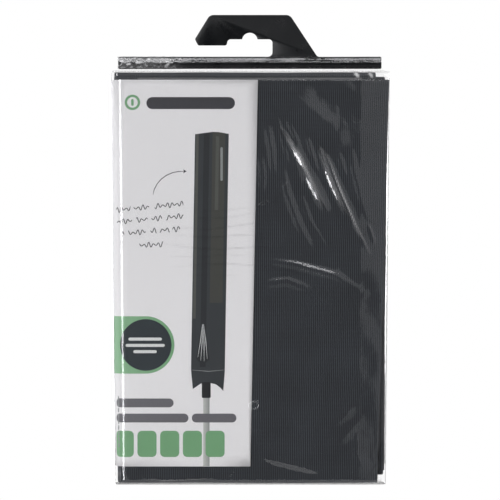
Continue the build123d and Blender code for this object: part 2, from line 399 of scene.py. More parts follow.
@dataclass(frozen=True)
class ClearFilm(Finish):
    """Clear polypropylene film, cast and welded: mirror-like, faintly hazy where handling whitens its folds; on some
    folds that whitening is a painted highlight.
    """

    tint: str = "FFFFFF"
    roughness: float = 0.045
    haze: float = 0.0
    crinkle_mm: float = 9.0
    crinkle: float = 0.22

    def skin(self, tree: Tree, place: Node) -> Node:
        """Add the finish's own nodes: as much mirror as the two faces of a film give, the rest clear.

        Args:
            tree: the material's nodes.
            place: the texture coordinates.

        Returns:
            The surface.
        """
        soft = add_node(tree, "TexNoise", {"Scale": 1 / (self.crinkle_mm * MM), "Detail": 2.5, "Roughness": 0.5,
            "Distortion": 0.6}, {"Vector": place.outputs["Object"]})
        relief = add_node(tree, "Bump", {"Strength": self.crinkle, "Distance": 0.6 * MM}, {"Height": soft})
        # a wall this thin doesn't bend light, so both its faces mirror by the angle alone
        facing = add_node(tree, "LayerWeight", {"Blend": 0.5}, {"Normal": relief})
        steep = add_node(tree, "Math", {"operation": "POWER", 1: 5.0}, {0: facing.outputs["Facing"]})
        mirror = add_node(tree, "Math", {"operation": "MULTIPLY_ADD", 1: 0.9, 2: 0.04}, {0: steep})
        # handling whitens the film along its folds, and on some folds the same whitening is a painted highlight; the
        # mesh carries how much as an attribute
        crease_and_highlight = add_node(tree, "Attribute", {"attribute_name": "crease_and_highlight"})
        cover = add_node(tree, "Math", {"operation": "MULTIPLY_ADD", 1: 0.5}, {0: crease_and_highlight.outputs["Fac"], 2: mirror})
        veil = add_node(tree, "Math", {"operation": "ADD", 1: self.haze, "use_clamp": True}, {0: cover})
        rough = add_node(tree, "MapRange", {"From Min": 0.0, "From Max": 0.5, "To Min": self.roughness,
            "To Max": 0.4}, {"Value": crease_and_highlight.outputs["Fac"]})
        return add_node(tree, "BsdfPrincipled", {"Base Color": linear(self.tint), "Metallic": 1.0},
            {"Roughness": rough, "Alpha": veil, "Normal": relief})


@dataclass(frozen=True)
class PrintedBoard(Finish):
    """White boxboard, offset printed and coated: ink colours under a thin satin varnish."""

    varnish: float = 0.38
    fibre_mm: float = 0.9

    def skin(self, tree: Tree, place: Node) -> Node:
        """Add the finish's own nodes; the ink's colour comes from the mesh's own ink attribute.

        Args:
            tree: the material's nodes.
            place: the texture coordinates.

        Returns:
            The surface.
        """
        ink = add_node(tree, "Attribute", {"attribute_name": "ink"})
        # board fibres of about a millimetre give the coat its slight unevenness
        fibre = add_node(tree, "TexNoise", {"Scale": 1 / (self.fibre_mm * MM), "Detail": 3.0},
            {"Vector": place.outputs["Object"]})
        spread = add_node(tree, "MapRange", {"From Min": 0.3, "From Max": 0.7, "To Min": 0.97, "To Max": 1.02},
            {"Value": fibre})
        face = add_node(tree, "VectorMath", {"operation": "SCALE"}, {0: ink, "Scale": spread})
        rough = add_node(tree, "MapRange", {"From Min": 0.3, "From Max": 0.7, "To Min": self.varnish - 0.05,
            "To Max": self.varnish + 0.08}, {"Value": fibre})
        relief = add_node(tree, "Bump", {"Strength": 0.08, "Distance": 0.05 * MM}, {"Height": fibre})
        return add_node(tree, "BsdfPrincipled", {"IOR": 1.48}, {"Base Color": face, "Roughness": rough,
            "Normal": relief})


@dataclass(frozen=True)
class HardSkin(Finish):
    """A moulded, cast or painted hard surface: one colour, a fine grain and slight rubbing."""

    colour: str
    worn: str
    roughness: float
    metallic: float = 0.0
    grain_mm: float = 0.5
    grain: float = 0.1
    patch_mm: float = 18.0
    shine: float = 0.5

    def skin(self, tree: Tree, place: Node) -> Node:
        """Add the finish's own nodes.

        Args:
            tree: the material's nodes.
            place: the texture coordinates.

        Returns:
            The surface.
        """
        grain = add_node(tree, "TexNoise", {"Scale": 1 / (self.grain_mm * MM), "Detail": 2.0},
            {"Vector": place.outputs["Object"]})
        patch = add_node(tree, "TexNoise", {"Scale": 1 / (self.patch_mm * MM), "Detail": 4.0, "Roughness": 0.65},
            {"Vector": place.outputs["Object"]})
        rub = add_node(tree, "MapRange", {"From Min": 0.45, "From Max": 0.75, "To Min": 0.0, "To Max": 1.0},
            {"Value": patch})
        colour = add_node(tree, "Mix", {"data_type": "RGBA", 6: linear(self.colour), 7: linear(self.worn)}, {0: rub})
        rough = add_node(tree, "MapRange", {"From Min": 0.35, "From Max": 0.7, "To Min": self.roughness - 0.06,
            "To Max": self.roughness + 0.1}, {"Value": patch})
        relief = add_node(tree, "Bump", {"Strength": self.grain, "Distance": 0.05 * MM}, {"Height": grain})
        return add_node(tree, "BsdfPrincipled", {"Metallic": self.metallic, "Specular IOR Level": self.shine},
            {"Base Color": colour.outputs[2], "Roughness": rough, "Normal": relief})


@dataclass(frozen=True)
class MeltGlue(Finish):
    """Pressure-sensitive hot-melt glue: a cloudy, slightly yellow strip with fine streaks."""

    name: str = "hot-melt glue, coated"

    def skin(self, tree: Tree, place: Node) -> Node:
        """Add the finish's own nodes.

        Args:
            tree: the material's nodes.
            place: the texture coordinates.

        Returns:
            The surface.
        """
        streak = add_node(tree, "Mapping", {"Scale": (40, 400, 900)}, {"Vector": place.outputs["Object"]})
        lines = add_node(tree, "TexNoise", {"Scale": 1.0, "Detail": 3.0}, {"Vector": streak})
        cloud = add_node(tree, "MapRange", {"From Min": 0.3, "From Max": 0.7, "To Min": 0.07, "To Max": 0.2},
            {"Value": lines})
        relief = add_node(tree, "Bump", {"Strength": 0.4, "Distance": 0.08 * MM}, {"Height": lines})
        return add_node(tree, "BsdfPrincipled", {"Base Color": linear("F1F0EA"), "Roughness": 0.32, "IOR": 1.48},
            {"Alpha": cloud, "Normal": relief})


# ---- the pack's sizes, from the frame -----------------------------------------------------------


@dataclass(frozen=True)
class PackSizes:
    """Places of the pack's parts in millimetres, read from the CAD nodes' boxes."""

    neck_z: float
    bottom_z: float
    half_top: float
    half_bottom: float
    neck_half: float

    @classmethod
    def measured(cls) -> "PackSizes":
        """Read the sizes from the frame.

        Returns:
            The sizes.
        """
        low, high = (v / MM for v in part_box("bag_front"))
        hem_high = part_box("header_hem")[1] / MM
        return cls(neck_z=high.z - 0.3, bottom_z=low.z, half_top=high.x, half_bottom=high.x - 3.0,
            neck_half=hem_high.x)

    def half_width(self, z: float) -> float:
        """The bag's half width at a height."""
        share = (self.neck_z - 1.4 - z) / (self.neck_z - 1.4 - self.bottom_z)
        return self.half_top + (self.half_bottom - self.half_top) * min(1.0, max(0.0, share))


# ---- hanger -----------------------------------------------------------------------------------


@dataclass
class Hanger:
    """The black hang hook with its rail: one moulded plate with a softened edge."""

    edge: float = 0.18

    def build(self) -> Piece:
        """Take the CAD plate's outline, soften its edges and dress it.

        Returns:
            The hanger.
        """
        piece = bpy.data.objects.new("hanger_plate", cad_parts["hanger"].data.copy())
        bpy.context.scene.collection.objects.link(piece)
        shell = bmesh.new()
        shell.from_mesh(piece.data)
        bmesh.ops.remove_doubles(shell, verts=shell.verts, dist=1e-6)
        bmesh.ops.dissolve_limit(shell, angle_limit=radians(1), verts=shell.verts, edges=shell.edges)
        shell.to_mesh(piece.data)
        shell.free()
        piece.data.materials.clear()
        # black polypropylene, injection moulded: a fine spark grain and a dull satin shine
        black = HardSkin("polypropylene, moulded black", "0D0F11", "131517", 0.3, grain=0.06, shine=0.25)
        piece.data.materials.append(black.material())
        soften(piece, self.edge)
        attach(piece, "hanger_body")
        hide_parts("hanger")
        return piece


# ---- folded cover -----------------------------------------------------------------------------


@dataclass
class FoldedCover:
    """The cover's sewn tube, pressed flat into four plies and folded six times into seven leaves."""

    sizes: PackSizes
    pitch: float = 0.557
    cloth: float = 0.25
    spine_radius: float = 7.7
    ply_columns: int = 24
    leaf_rows: int = 30
    zip_x: float = 46.0

    def turns(self) -> list[tuple[float, float, float]]:
        """The free ends and folds of the stack.

        Returns:
            For each, its height, and how far its left and right ends lie inside the bag's edge.
        """
        return [(-28.4, 2, 1.2), (-311.6, 2.2, 6.8), (-22.9, 3.2, 10.6), (-310.8, 3.4, 6.6), (-25.4, 3, 4),
            (-307, 2.6, 2.4), (-28.4, 2.2, 1.8), (-304.3, 2.2, 1.4)]

    def section(self) -> list[tuple[float, float, float]]:
        """The flattened tube's closed outline across the width.

        Returns:
            For each point, its share of the width, its shift in X and its place in plies.
        """
        p, n = self.pitch, self.ply_columns
        across = [i / n for i in range(n + 1)]
        arc = [radians(a) for a in (22, 45, 67, 90, 113, 135, 158)]
        small = [radians(a) for a in (45, 90, 135)]
        loop = [(f, 0.0, 1.5) for f in across]
        loop += [(1.0, 1.5 * p * sin(a) * 0.9, 1.5 * cos(a)) for a in arc]
        loop += [(f, 0.0, -1.5) for f in reversed(across)]
        loop += [(0.0, -0.5 * p * sin(a), -1.0 - 0.5 * cos(a)) for a in small]
        loop += [(f, -0.9 * p * f, -0.5) for f in across]
        loop += [(1.0, -0.9 * p + 0.5 * p * sin(a), -0.5 * cos(a)) for a in small]
        loop += [(f, -0.9 * p * f, 0.5) for f in reversed(across)]
        loop += [(0.0, -0.5 * p * sin(a), 1.0 - 0.5 * cos(a)) for a in small]
        return loop

    def path(self) -> list[tuple[float, float, float, float, float, float, float]]:
        """The zigzag that the flattened tube follows from front to back.

        Returns:
            For each step: y, z, the ply direction's y and z, the left and right insets and the length so far.
        """
        p = self.pitch
        ends = self.turns()
        radius = 2 * p
        reach = 3.5 * p + self.cloth / 2
        first = -14 * p + 2 * p
        steps = []
        for k in range(7):
            y = first + k * 4 * p
            (start, left_a, right_a), (stop, left_b, right_b) = ends[k], ends[k + 1]
            down = -1.0 if k % 2 == 0 else 1.0
            z_from = start if k == 0 else start + down * reach
            z_to = stop if k == 6 else stop - down * reach
            for i in range(self.leaf_rows + 1):
                t = i / self.leaf_rows
                steps.append((y, z_from + (z_to - z_from) * t, down, 0.0, left_a + (left_b - left_a) * t,
                    right_a + (right_b - right_a) * t))
            if k < 6:
                for i in range(1, 6):
                    a = pi * i / 6
                    steps.append((y + radius - radius * cos(a), z_to + down * radius * sin(a),
                        down * cos(a), -sin(a), left_b, right_b))
        length, full = 0.0, []
        for i, s in enumerate(steps):
            if i:
                length += hypot(s[0] - steps[i - 1][0], s[1] - steps[i - 1][1])
            full.append((*s, length))
        return full

    def press(self, x: float, y: float, z: float) -> float:
        """Where the stack is squeezed: at its edges, under the zip, round the cap and at the hem.

        Args:
            x: place across the pack.
            y: place in the loose stack.
            z: height.

        Returns:
            The pressed place in Y.
        """
        half = self.sizes.half_width(z)
        y *= 1 - 0.0143 * max(0.0, x - (half - 21.0))
        beside = 1 - smooth(17.0, 25.0, abs(x - self.zip_x))
        along = 1 - smooth(-52.0, -42.0, z)
        slider = (1 - smooth(8.0, 12.0, abs(x - self.zip_x))) * along
        if y > -5.0:
            y = -5.0 + (y + 5.0) * (1 - 0.345 * beside * along) * (1 - 0.13 * slider)
        if y > 5.0 and z < -286:
            y = 5.0 + (y - 5.0) * (1 - 0.2 * smooth(-287, -292, z))
        cap = smooth(84, 78, abs(x)) * smooth(-123, -118, z)
        seam = -10 * self.pitch
        if y > seam:
            y += 0.7 * cap * max(0.0, 1 - (y - seam) / 12.0)
        else:
            y -= 0.1 * cap
        return y

    def build(self, material: Material) -> Piece:
        """Fold the tube as one sheet and dress it.

        Args:
            material: the cloth.

        Returns:
            The folded cloth.
        """
        section, path = self.section(), self.path()
        points, spots = [], []
        around = 0.0
        lengths = [0.0]
        for a, b in zip(section, section[1:]):
            around += hypot((b[0] - a[0]) * 190 + b[1] - a[1], (b[2] - a[2]) * self.pitch)
            lengths.append(around)
        for y0, z0, ny, nz, inset_left, inset_right, run in path:
            for (share, shift, ply), across in zip(section, lengths):
                y = y0 + ny * ply * self.pitch
                z = z0 + nz * ply * self.pitch
                half = self.sizes.half_width(z)
                seed = round(y / self.pitch)
                left = -half + inset_left + 0.35 * ripple(z, seed * 9, 45, 1.5)
                left += self.spine_radius - math.sqrt(max(0.1, self.spine_radius**2 - min(y * y, 58.0)))
                right = half - inset_right + 0.5 * ripple(z, seed * 11, 55, 4.5)
                x = left + (right - left) * share + shift
                loose = min(1.0, (7.9 - abs(y)) / 1.2)
                y = self.press(x, y, z) + 0.16 * loose * ripple(x, z, 38, 2.2)
                z += 0.5 * ripple(x, seed * 5, 60, 7.7) * smooth(0.0, 1.0, abs(z0 + 168) / 140 - 0.4)
                points.append((x, y, z))
                spots.append((across * MM, run * MM))
        piece = new_piece("folded_cloth", points, grid_faces(len(path), len(section), wrap=True), material)
        layer = piece.data.uv_layers.new(name="cloth")
        for loop in piece.data.loops:
            layer.data[loop.index].uv = spots[loop.vertex_index]
        thicken(piece, self.cloth)
        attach(piece, "pack_body")
        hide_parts("cover_panel")
        return piece


@dataclass
class CoverTrim:
    """The cover's sewn-on parts: the top cap and the hem binding."""

    sizes: PackSizes
    zip_x: float = 46.0

    def cap(self, material: Material) -> Piece:
        """The round cap, folded double and tucked into the front leaf.

        Args:
            material: the cloth.

        Returns:
            The cap.
        """
        low, high = (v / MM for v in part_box("cover_top_cap"))
        middle = (low.y + high.y) / 2 - 0.72
        columns, rows = 25, 30
        points = []
        for r in range(rows + 1):
            t = r / rows * 2 - 1
            turn = smooth(0.0, 0.06, abs(t))
            z = high.z - 0.4 - (high.z - low.z - 1.0) * abs(t)
            for c in range(columns + 1):
                share = c / columns * 2 - 1
                half = (high.x - 1.0) * (1 - 0.22 * abs(t) ** 3)
                x = share * half
                y = middle + 0.24 * math.copysign(turn, t) + 0.05 * ripple(x, z, 25, 3.3)
                points.append((x, y, z))
        piece = new_piece("folded_cap", points, grid_faces(rows + 1, columns + 1), material)
        map_grid(piece, columns + 1, 6.3, 5.9)
        thicken(piece, 0.22)
        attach(piece, "pack_body")
        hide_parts("cover_top_cap")
        return piece

    def binding(self, material: Material) -> list[Piece]:
        """The doubled band round the lower edge, in two runs that stop beside the zip.

        Args:
            material: the band's cloth.

        Returns:
            The left and right runs.
        """
        low, high = (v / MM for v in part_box("cover_hem_binding"))
        depth = (high.y - low.y - 0.35) / 2
        middle_y = (high.y + low.y) / 2
        runs = []
        spans = (("left", low.x + 5.5, self.zip_x - 16.6), ("right", self.zip_x + 16.6, high.x - 3.5))
        for name, start, stop in spans:
            columns = max(8, round((stop - start) / 3))
            profile = [(-depth, t) for t in (11.4, 9.5, 7.0, 4.5, 2.4)]
            profile += [(-depth * cos(a), 1.2 - 1.0 * sin(a)) for a in np.linspace(0.2, pi - 0.2, 7)]
            profile += [(depth, t) for t in (2.4, 4.5, 7.0, 9.5, 11.4)]
            points = []
            for i in range(columns + 1):
                x = start + (stop - start) * i / columns
                pucker = 0.08 * sin(x * 1.9) * (1 if i % 2 else -1)
                for y, rise in profile:
                    nip = 1 - 0.22 * smooth(6.5, 11.4, rise)
                    points.append((x, middle_y + y * nip + pucker * 0.4, low.z + 0.15 + rise + pucker))
            piece = new_piece(f"hem_band_{name}", points, grid_faces(columns + 1, len(profile)), material)
            map_grid(piece, len(profile), 1.6, 3.0)
            thicken(piece, 0.3)
            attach(piece, "pack_body")
            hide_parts("cover_hem_binding")
            runs.append(piece)
        return runs


# ---- sewing, in Geometry Nodes --------------------------------------------------------------------


@dataclass
class Sewing:
    """Rows of lock stitches, grown along lines by a Geometry Nodes tree."""

    pitch: float = 3.0
    length: float = 2.3
    radius: float = 0.2

    def tree(self) -> Tree:
        """The tree: lines to curves, resampled at the pitch, a long bead set along each.

        Returns:
            The node group.
        """
        sizes = {"Pitch": self.pitch, "Length": self.length, "Radius": self.radius}
        group, given, marks = start_rows("stitch rows", sizes, "Thread")
        along = add_node(group, "GeometryNodeInputTangent")
        turned = add_node(group, "FunctionNodeAlignRotationToVector", {"axis": "Z"}, {"Vector": along})
        bead = add_node(group, "GeometryNodeMeshUVSphere", {"Segments": 6, "Rings": 5},
            {"Radius": given.outputs["Radius"]})
        ratio = add_node(group, "Math", {"operation": "DIVIDE"}, {0: given.outputs["Length"],
            1: given.outputs["Radius"]})
        half = add_node(group, "Math", {"operation": "MULTIPLY", 1: 0.5}, {0: ratio})
        stretch = add_node(group, "CombineXYZ", {"X": 1.0, "Y": 1.0}, {"Z": half})
        rows = add_node(group, "GeometryNodeInstanceOnPoints", {}, {"Points": marks, "Instance": bead,
            "Rotation": turned, "Scale": stretch})
        return end_rows(group, rows, given.outputs["Thread"])

    def rows(self, name: str, lines: Sequence[Sequence[Sequence[float]]], group: Tree,
            thread: Material, slot: str, **sizes: float) -> Piece:
        """Sew along lines.

        Args:
            name: the piece's name.
            lines: each a list of points in millimetres.
            group: the stitch tree.
            thread: the thread's finish.
            slot: the record's material slot; not used.
            sizes: Pitch, Length or Radius in metres, where they differ.

        Returns:
            The stitches.
        """
        points = [p for line in lines for p in line]
        mesh = bpy.data.meshes.new(name)
        edges, start = [], 0
        for line in lines:
            edges += [(start + i, start + i + 1) for i in range(len(line) - 1)]
            start += len(line)
        mesh.from_pydata([[c * MM for c in p] for p in points], edges, [])
        base = bpy.data.objects.new(name, mesh)
        bpy.context.scene.collection.objects.link(base)
        piece = grown(name, group, {"Thread": thread, **sizes}, base)
        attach(piece, "pack_body")
        return piece


# ---- zip --------------------------------------------------------------------------------------


@dataclass
class Zip:
    """A nylon coil zip: two woven tapes, two coils, a cast slider with its puller, and stops."""

    coil_pitch: float = 1.25
    wire: float = 0.3

    def tape(self, side: str, material: Material) -> Piece:
        """One tape, with the slight waves of a sewn strip."""
        low, high = (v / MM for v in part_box(f"zip_tape_{side}"))
        rows, columns = 90, 10
        middle = (low.y + high.y) / 2
        points = []
        for r in range(rows + 1):
            z = low.z + (high.z - low.z) * r / rows
            for c in range(columns + 1):
                x = low.x + (high.x - low.x) * c / columns
                points.append((x, middle + 0.05 * sin(z * 0.5 + c * 0.3), z))
        piece = new_piece(f"woven_tape_{side}", points, grid_faces(rows + 1, columns + 1), material)
        map_grid(piece, columns + 1, 1.4, 2.75)
        thicken(piece, 0.36)
        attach(piece, "pack_body")
        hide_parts(f"zip_tape_{side}")
        return piece

    def coil_tree(self) -> Tree:
        """The tree that sets one flattened loop of wire after another along a line."""
        sizes = {"Pitch": self.coil_pitch, "Width": 2.2, "Height": 0.8, "Wire": self.wire}
        group, given, marks = start_rows("zip coil", sizes, "Nylon")
        ring = add_node(group, "GeometryNodeCurvePrimitiveCircle", {"Resolution": 10, "Radius": 0.5})
        size = add_node(group, "CombineXYZ", {"Z": 1.0}, {"X": given.outputs["Width"], "Y": given.outputs["Height"]})
        oval = add_node(group, "GeometryNodeTransform", {"Rotation": (0.0, 0.0, 0.0)},
            {"Geometry": ring, "Scale": size})
        wire = add_node(group, "GeometryNodeCurvePrimitiveCircle", {"Resolution": 5},
            {"Radius": given.outputs["Wire"]})
        turn = add_node(group, "GeometryNodeCurveToMesh", {}, {"Curve": oval, "Profile Curve": wire})
        rows = add_node(group, "GeometryNodeInstanceOnPoints", {"Rotation": (0.35, 0.0, 0.0)},
            {"Points": marks, "Instance": turn})
        return end_rows(group, rows, given.outputs["Nylon"])

    def coil(self, side: str, group: Tree, nylon: Material) -> Piece:
        """One row of teeth: the coil, grown along the tape's edge."""
        low, high = (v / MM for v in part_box(f"zip_coil_{side}"))
        x, y = (low.x + high.x) / 2, (low.y + high.y) / 2
        mesh = bpy.data.meshes.new(f"coil_{side}")
        shift = 0.0 if side == "left" else self.coil_pitch / 2
        mesh.from_pydata([(x * MM, y * MM, (low.z + 0.4 + shift) * MM), (x * MM, y * MM, (high.z - 0.4) * MM)],
            [(0, 1)], [])
        base = bpy.data.objects.new(f"coil_{side}", mesh)
        bpy.context.scene.collection.objects.link(base)
        width = high.x - low.x - 2 * self.wire * 0.5
        piece = grown(f"coil_{side}", group, {"Nylon": nylon, "Width": width * MM}, base)
        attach(piece, "pack_body")
        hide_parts(f"zip_coil_{side}")
        return piece

    def slider(self, metal: Material) -> Piece:
        """The slider: two tapered plates, side walls, the post and the bail."""
        low, high = (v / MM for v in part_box("zip_slider"))
        x = (low.x + high.x) / 2
        middle = (low.z + high.z) / 2
        half = (high.z - low.z) / 2
        wide, slim = (high.x - low.x) / 2, 3.3
        plate = [(x - wide * 0.72, middle - half), (x + wide * 0.72, middle - half), (x + wide, middle - half * 0.3),
            (x + wide, middle + half * 0.35), (x + slim, middle + half), (x - slim, middle + half),
            (x - wide, middle + half * 0.35), (x - wide, middle - half * 0.3)]
        top = high.y - 2.2
        parts = [prism("plate", plate, top - 0.8, top, metal), prism("plate", plate, low.y, low.y + 0.8, metal)]
        post = rect(x - 0.4, middle + 1.8, x + 0.4, middle - 1.8)
        parts.append(prism("post", post, low.y + 0.4, top - 0.4, metal))
        for side in (-1, 1):
            wall = rect(x + side * (wide - 1.15), middle - 3.6, x + side * (wide - 0.05), middle + 2.0)
            parts.append(prism("wall", wall, top - 2.0, top - 0.5, metal))
        parts.append(self.bail(x, middle, top, high.y, metal))
        piece = joined("slider_casting", [soften(p, 0.15) for p in parts])
        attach(piece, "slider_body")
        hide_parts("zip_slider")
        return piece

    def bail(self, x: float, middle: float, low: float, high: float, metal: Material) -> Piece:
        """The bridge on the slider that holds the puller, a bar bent to a flat arch."""
        outer = [(middle - 3.5, low - 0.1), (middle - 3.45, high - 0.7), (middle - 2.9, high), (middle + 2.9, high),
            (middle + 3.45, high - 0.7), (middle + 3.5, low - 0.1)]
        inner = [(middle + 2.9, low - 0.1), (middle + 2.85, high - 0.85), (middle + 2.5, high - 0.6),
            (middle - 2.5, high - 0.6), (middle - 2.85, high - 0.85), (middle - 2.9, low - 0.1)]
        ring = outer + inner
        count = len(ring)
        points = [(x - 1.5, y, z) for z, y in ring] + [(x + 1.5, y, z) for z, y in ring]
        faces = [(i, (i + 1) % count, (i + 1) % count + count, i + count) for i in range(count)]
        for i in range(len(outer) - 1):
            j = count - 1 - i
            faces += [(i, i + 1, j - 1, j), (i + count, j + count, j - 1 + count, i + 1 + count)]
        return outward(new_piece("bail", points, faces, metal, rounded=False))

    def puller(self, metal: Material) -> Piece:
        """The pull tab: a long plate with an eye, a pin through the bail and a thin oval grip pad on one face."""
        low, high = (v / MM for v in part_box("zip_puller"))
        x, y = (low.x + high.x) / 2, (low.y + high.y) / 2
        top = high.z - 0.42
        wide = (high.x - low.x) / 2
        left_rail = rect(x - wide, top, x - 1.75, top - 2.3)
        right_rail = [(2 * x - a, b) for a, b in left_rail]
        tab = [(x - wide, top - 2.2), (x + wide, top - 2.2)]
        tab += [(x + wide * cos(a), low.z + 3.2 - 3.2 * sin(a)) for a in np.linspace(0, pi, 9)]
        pin = rect(x - wide, top - 0.36, x + wide, top + 0.36)
        parts = [prism("rail", left_rail, y - 0.38, y + 0.38, metal), prism("rail", right_rail, y - 0.38, y + 0.38,
            metal), prism("tab", tab, y - 0.38, y + 0.38, metal), prism("pin", pin, y - 0.36, y + 0.36, metal)]
        grip = [(x + 2.3 * cos(a), low.z + 7.5 + 5.2 * sin(a)) for a in np.linspace(0, tau, 25)[:-1]]
        parts.append(prism("grip", grip, y + 0.3, y + 0.42, metal))
        piece = joined("pull_tab", [soften(p, 0.14) for p in parts])
        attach(piece, "puller_body")
        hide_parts("zip_puller")
        return piece

    def stops(self, metal: Material) -> list[Piece]:
        """The two top stops and the bottom stop: crimped wire staples with rounded backs."""
        made = []
        low, high = (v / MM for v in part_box("zip_top_stops"))
        clips = []
        for left, right in ((low.x, low.x + 2.6), (high.x - 2.6, high.x)):
            clips += self.clip(left, right, low, high, metal)
        piece = joined("top_stops", clips)
        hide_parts("zip_top_stops")
        made.append(piece)
        low, high = (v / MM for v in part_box("zip_bottom_stop"))
        piece = joined("bottom_stop", self.clip(low.x, high.x, low, high, metal))
        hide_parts("zip_bottom_stop")
        made.append(piece)
        for piece in made:
            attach(piece, "pack_body")
        return made

    def clip(self, left: float, right: float, low: Vector, high: Vector, metal: Material) -> list[Piece]:
        """One crimped stop as two ribs on a plate."""
        plate = prism("clip", rect(left, low.z, right, high.z), low.y, high.y - 0.3, metal)
        ribs = []
        for level in (0.28, 0.72):
            z = low.z + (high.z - low.z) * level
            bar = rect(left + 0.1, z - 0.42, right - 0.1, z + 0.42)
            ribs.append(prism("clip", bar, high.y - 0.5, high.y, metal))
        return [soften(p, 0.18) for p in (plate, *ribs)]


# ---- printed sheets ---------------------------------------------------------------------------


class Ink(Enum):
    """The printed colours, as sRGB hex."""

    BARE = "F0EFEF"
    BOARD = "C9C5BC"
    LEAF = "78AA7D"
    LEAF_LIGHT = "95C29A"
    TEXT = "6B6A6E"
    SCRIPT = "3C3C40"
    NIGHT = "2A3338"
    CLOTH_DARK = "24282B"
    CLOTH = "33373A"
    CLOTH_WARM = "41423D"
    CLOTH_PALE = "52544F"
    LINE = "8F9391"
    PALE = "E2E4E2"
    POLE = "C9CBC6"
    BLACK = "16181A"


@dataclass(frozen=True)
class Shape:
    """A printed shape: its ink, its outline in the sheet's plane, and an ink it fades to at the right."""

    ink: Ink
    outline: list[Point]
    fade: Ink | None = None


def bar(x0: float, z0: float, x1: float, z1: float, radius: float = 0.6, steps: int = 4) -> list[Point]:
    """A rounded rectangle's outline between two corners."""
    left, right, low, high = min(x0, x1), max(x0, x1), min(z0, z1), max(z0, z1)
    r = min(radius, (right - left) / 2.01, (high - low) / 2.01)
    corners = ((right - r, low + r, -90), (right - r, high - r, 0), (left + r, high - r, 90), (left + r, low + r, 180))
    return [(cx + r * cos(radians(a + 90 * i / steps)), cz + r * sin(radians(a + 90
        * i / steps))) for cx, cz, a in corners for i in range(steps + 1)]


def disc(x: float, z: float, radius: float, count: int = 48) -> list[Point]:
    """A circle's outline."""
    return [(x + radius * cos(tau * i / count), z + radius * sin(tau * i / count)) for i in range(count)]


def stroke(line: Sequence[Point], width: float) -> list[Point]:
    """The outline of a pen stroke along a line, pointed at both ends."""
    left, right = [], []
    last = len(line) - 1
    for i, (x, z) in enumerate(line):
        ax, az = line[max(0, i - 1)]
        bx, bz = line[min(last, i + 1)]
        size = hypot(bx - ax, bz - az) or 1.0
        half = width / 2 * (0.35 if i in (0, last) else 1.0)
        nx, nz = -(bz - az) / size * half, (bx - ax) / size * half
        left.append((x + nx, z + nz))
        right.append((x - nx, z - nz))
    return right + left[::-1]


def scribble(x0: float, z0: float, x1: float, z1: float, tall: float, seed: float) -> list[Point]:
    """A wavy pen line that stands for a hand-written word, with no letters in it."""
    count = max(6, round(abs(x1 - x0) / 0.42))
    line = []
    for i in range(count + 1):
        t = i / count
        wave = sin(t * abs(x1 - x0) * 1.9 + seed)
        wave *= 0.6 + 0.4 * sin(t * abs(x1 - x0) * 0.71 + seed * 2)
        line.append((x0 + (x1 - x0) * t, z0 + (z1 - z0) * t + tall * wave))
    return stroke(line, 0.6)


def inked_sheet(name: str, outline: list[Point], shapes: Sequence[Shape], guides: Sequence[tuple[Point, Point]],
        spots: Sequence[Point], place: Callable[[float, float], Sequence[float]], thickness: float,
        material: Material, inside: Ink) -> Piece:
    """Cut printed shapes into a flat sheet, bend it into place and thicken it.

    Args:
        name: the piece's name.
        outline: the sheet's outline, anticlockwise, in its flat plane.
        shapes: what is printed on it; a later shape lies over an earlier one.
        guides: lines that the mesh follows where the sheet bends.
        spots: extra points, so that flat areas can bow.
        place: turns a flat place into a point in the frame, in millimetres.
        thickness: the sheet's thickness, grown inwards.
        material: the finish that reads the ink.
        inside: the ink of the back and the cut edges.

    Returns:
        The sheet.
    """
    flat = [Vector(p) for p in outline]
    regions = [list(range(len(outline)))]
    for shape in shapes:
        pairs = zip(shape.outline, shape.outline[1:] + shape.outline[:1])
        turn = sum(a[0] * b[1] - b[0] * a[1] for a, b in pairs)
        regions.append(list(range(len(flat), len(flat) + len(shape.outline))))
        flat += [Vector(p) for p in (shape.outline if turn > 0 else shape.outline[::-1])]
    lines = []
    for a, b in guides:
        lines.append((len(flat), len(flat) + 1))
        flat += [Vector(a), Vector(b)]
    flat += [Vector(p) for p in spots]
    corners, _, faces, _, _, owners = delaunay_2d_cdt(flat, lines, regions, 1, 1e-4)
    piece = new_piece(name, [place(c.x, c.y) for c in corners], faces, material)
    outer, outer_count = len(corners), len(faces)
    own = piece.data.attributes.new("shape", "INT", "FACE")
    own.data.foreach_set("value", [max(owner) if owner else 0 for owner in owners])
    spread = {}
    for index, shape in enumerate(shapes):
        across = [p[0] for p in shape.outline]
        spread[index] = (min(across), max(across))
    flat_x = piece.data.attributes.new("across", "FLOAT", "POINT")
    flat_x.data.foreach_set("value", [c.x for c in corners])
    thicken(piece, thickness, -1.0)
    mesh = piece.data
    own = [v.value for v in mesh.attributes["shape"].data]
    across = [v.value for v in mesh.attributes["across"].data]
    colours = np.ones((len(mesh.loops), 4), np.float32)
    for face in mesh.polygons:
        shape = own[face.index] - 1
        is_outer = face.index < outer_count and all(v < outer for v in face.vertices)
        for loop in face.loop_indices:
            if not is_outer:
                colour = linear(inside.value)
            elif shape < 0:
                colour = linear(Ink.BARE.value)
            elif shapes[shape].fade is None:
                colour = linear(shapes[shape].ink.value)
            else:
                left, right = spread[shape]
                t = (across[mesh.loops[loop].vertex_index] - left) / (right - left)
                first, second = linear(shapes[shape].ink.value), linear(shapes[shape].fade.value)
                colour = tuple(a + (b - a) * t for a, b in zip(first, second))
            colours[loop] = colour
    ink = mesh.color_attributes.new("ink", "FLOAT_COLOR", "CORNER")
    ink.data.foreach_set("color", colours.ravel())
    return piece


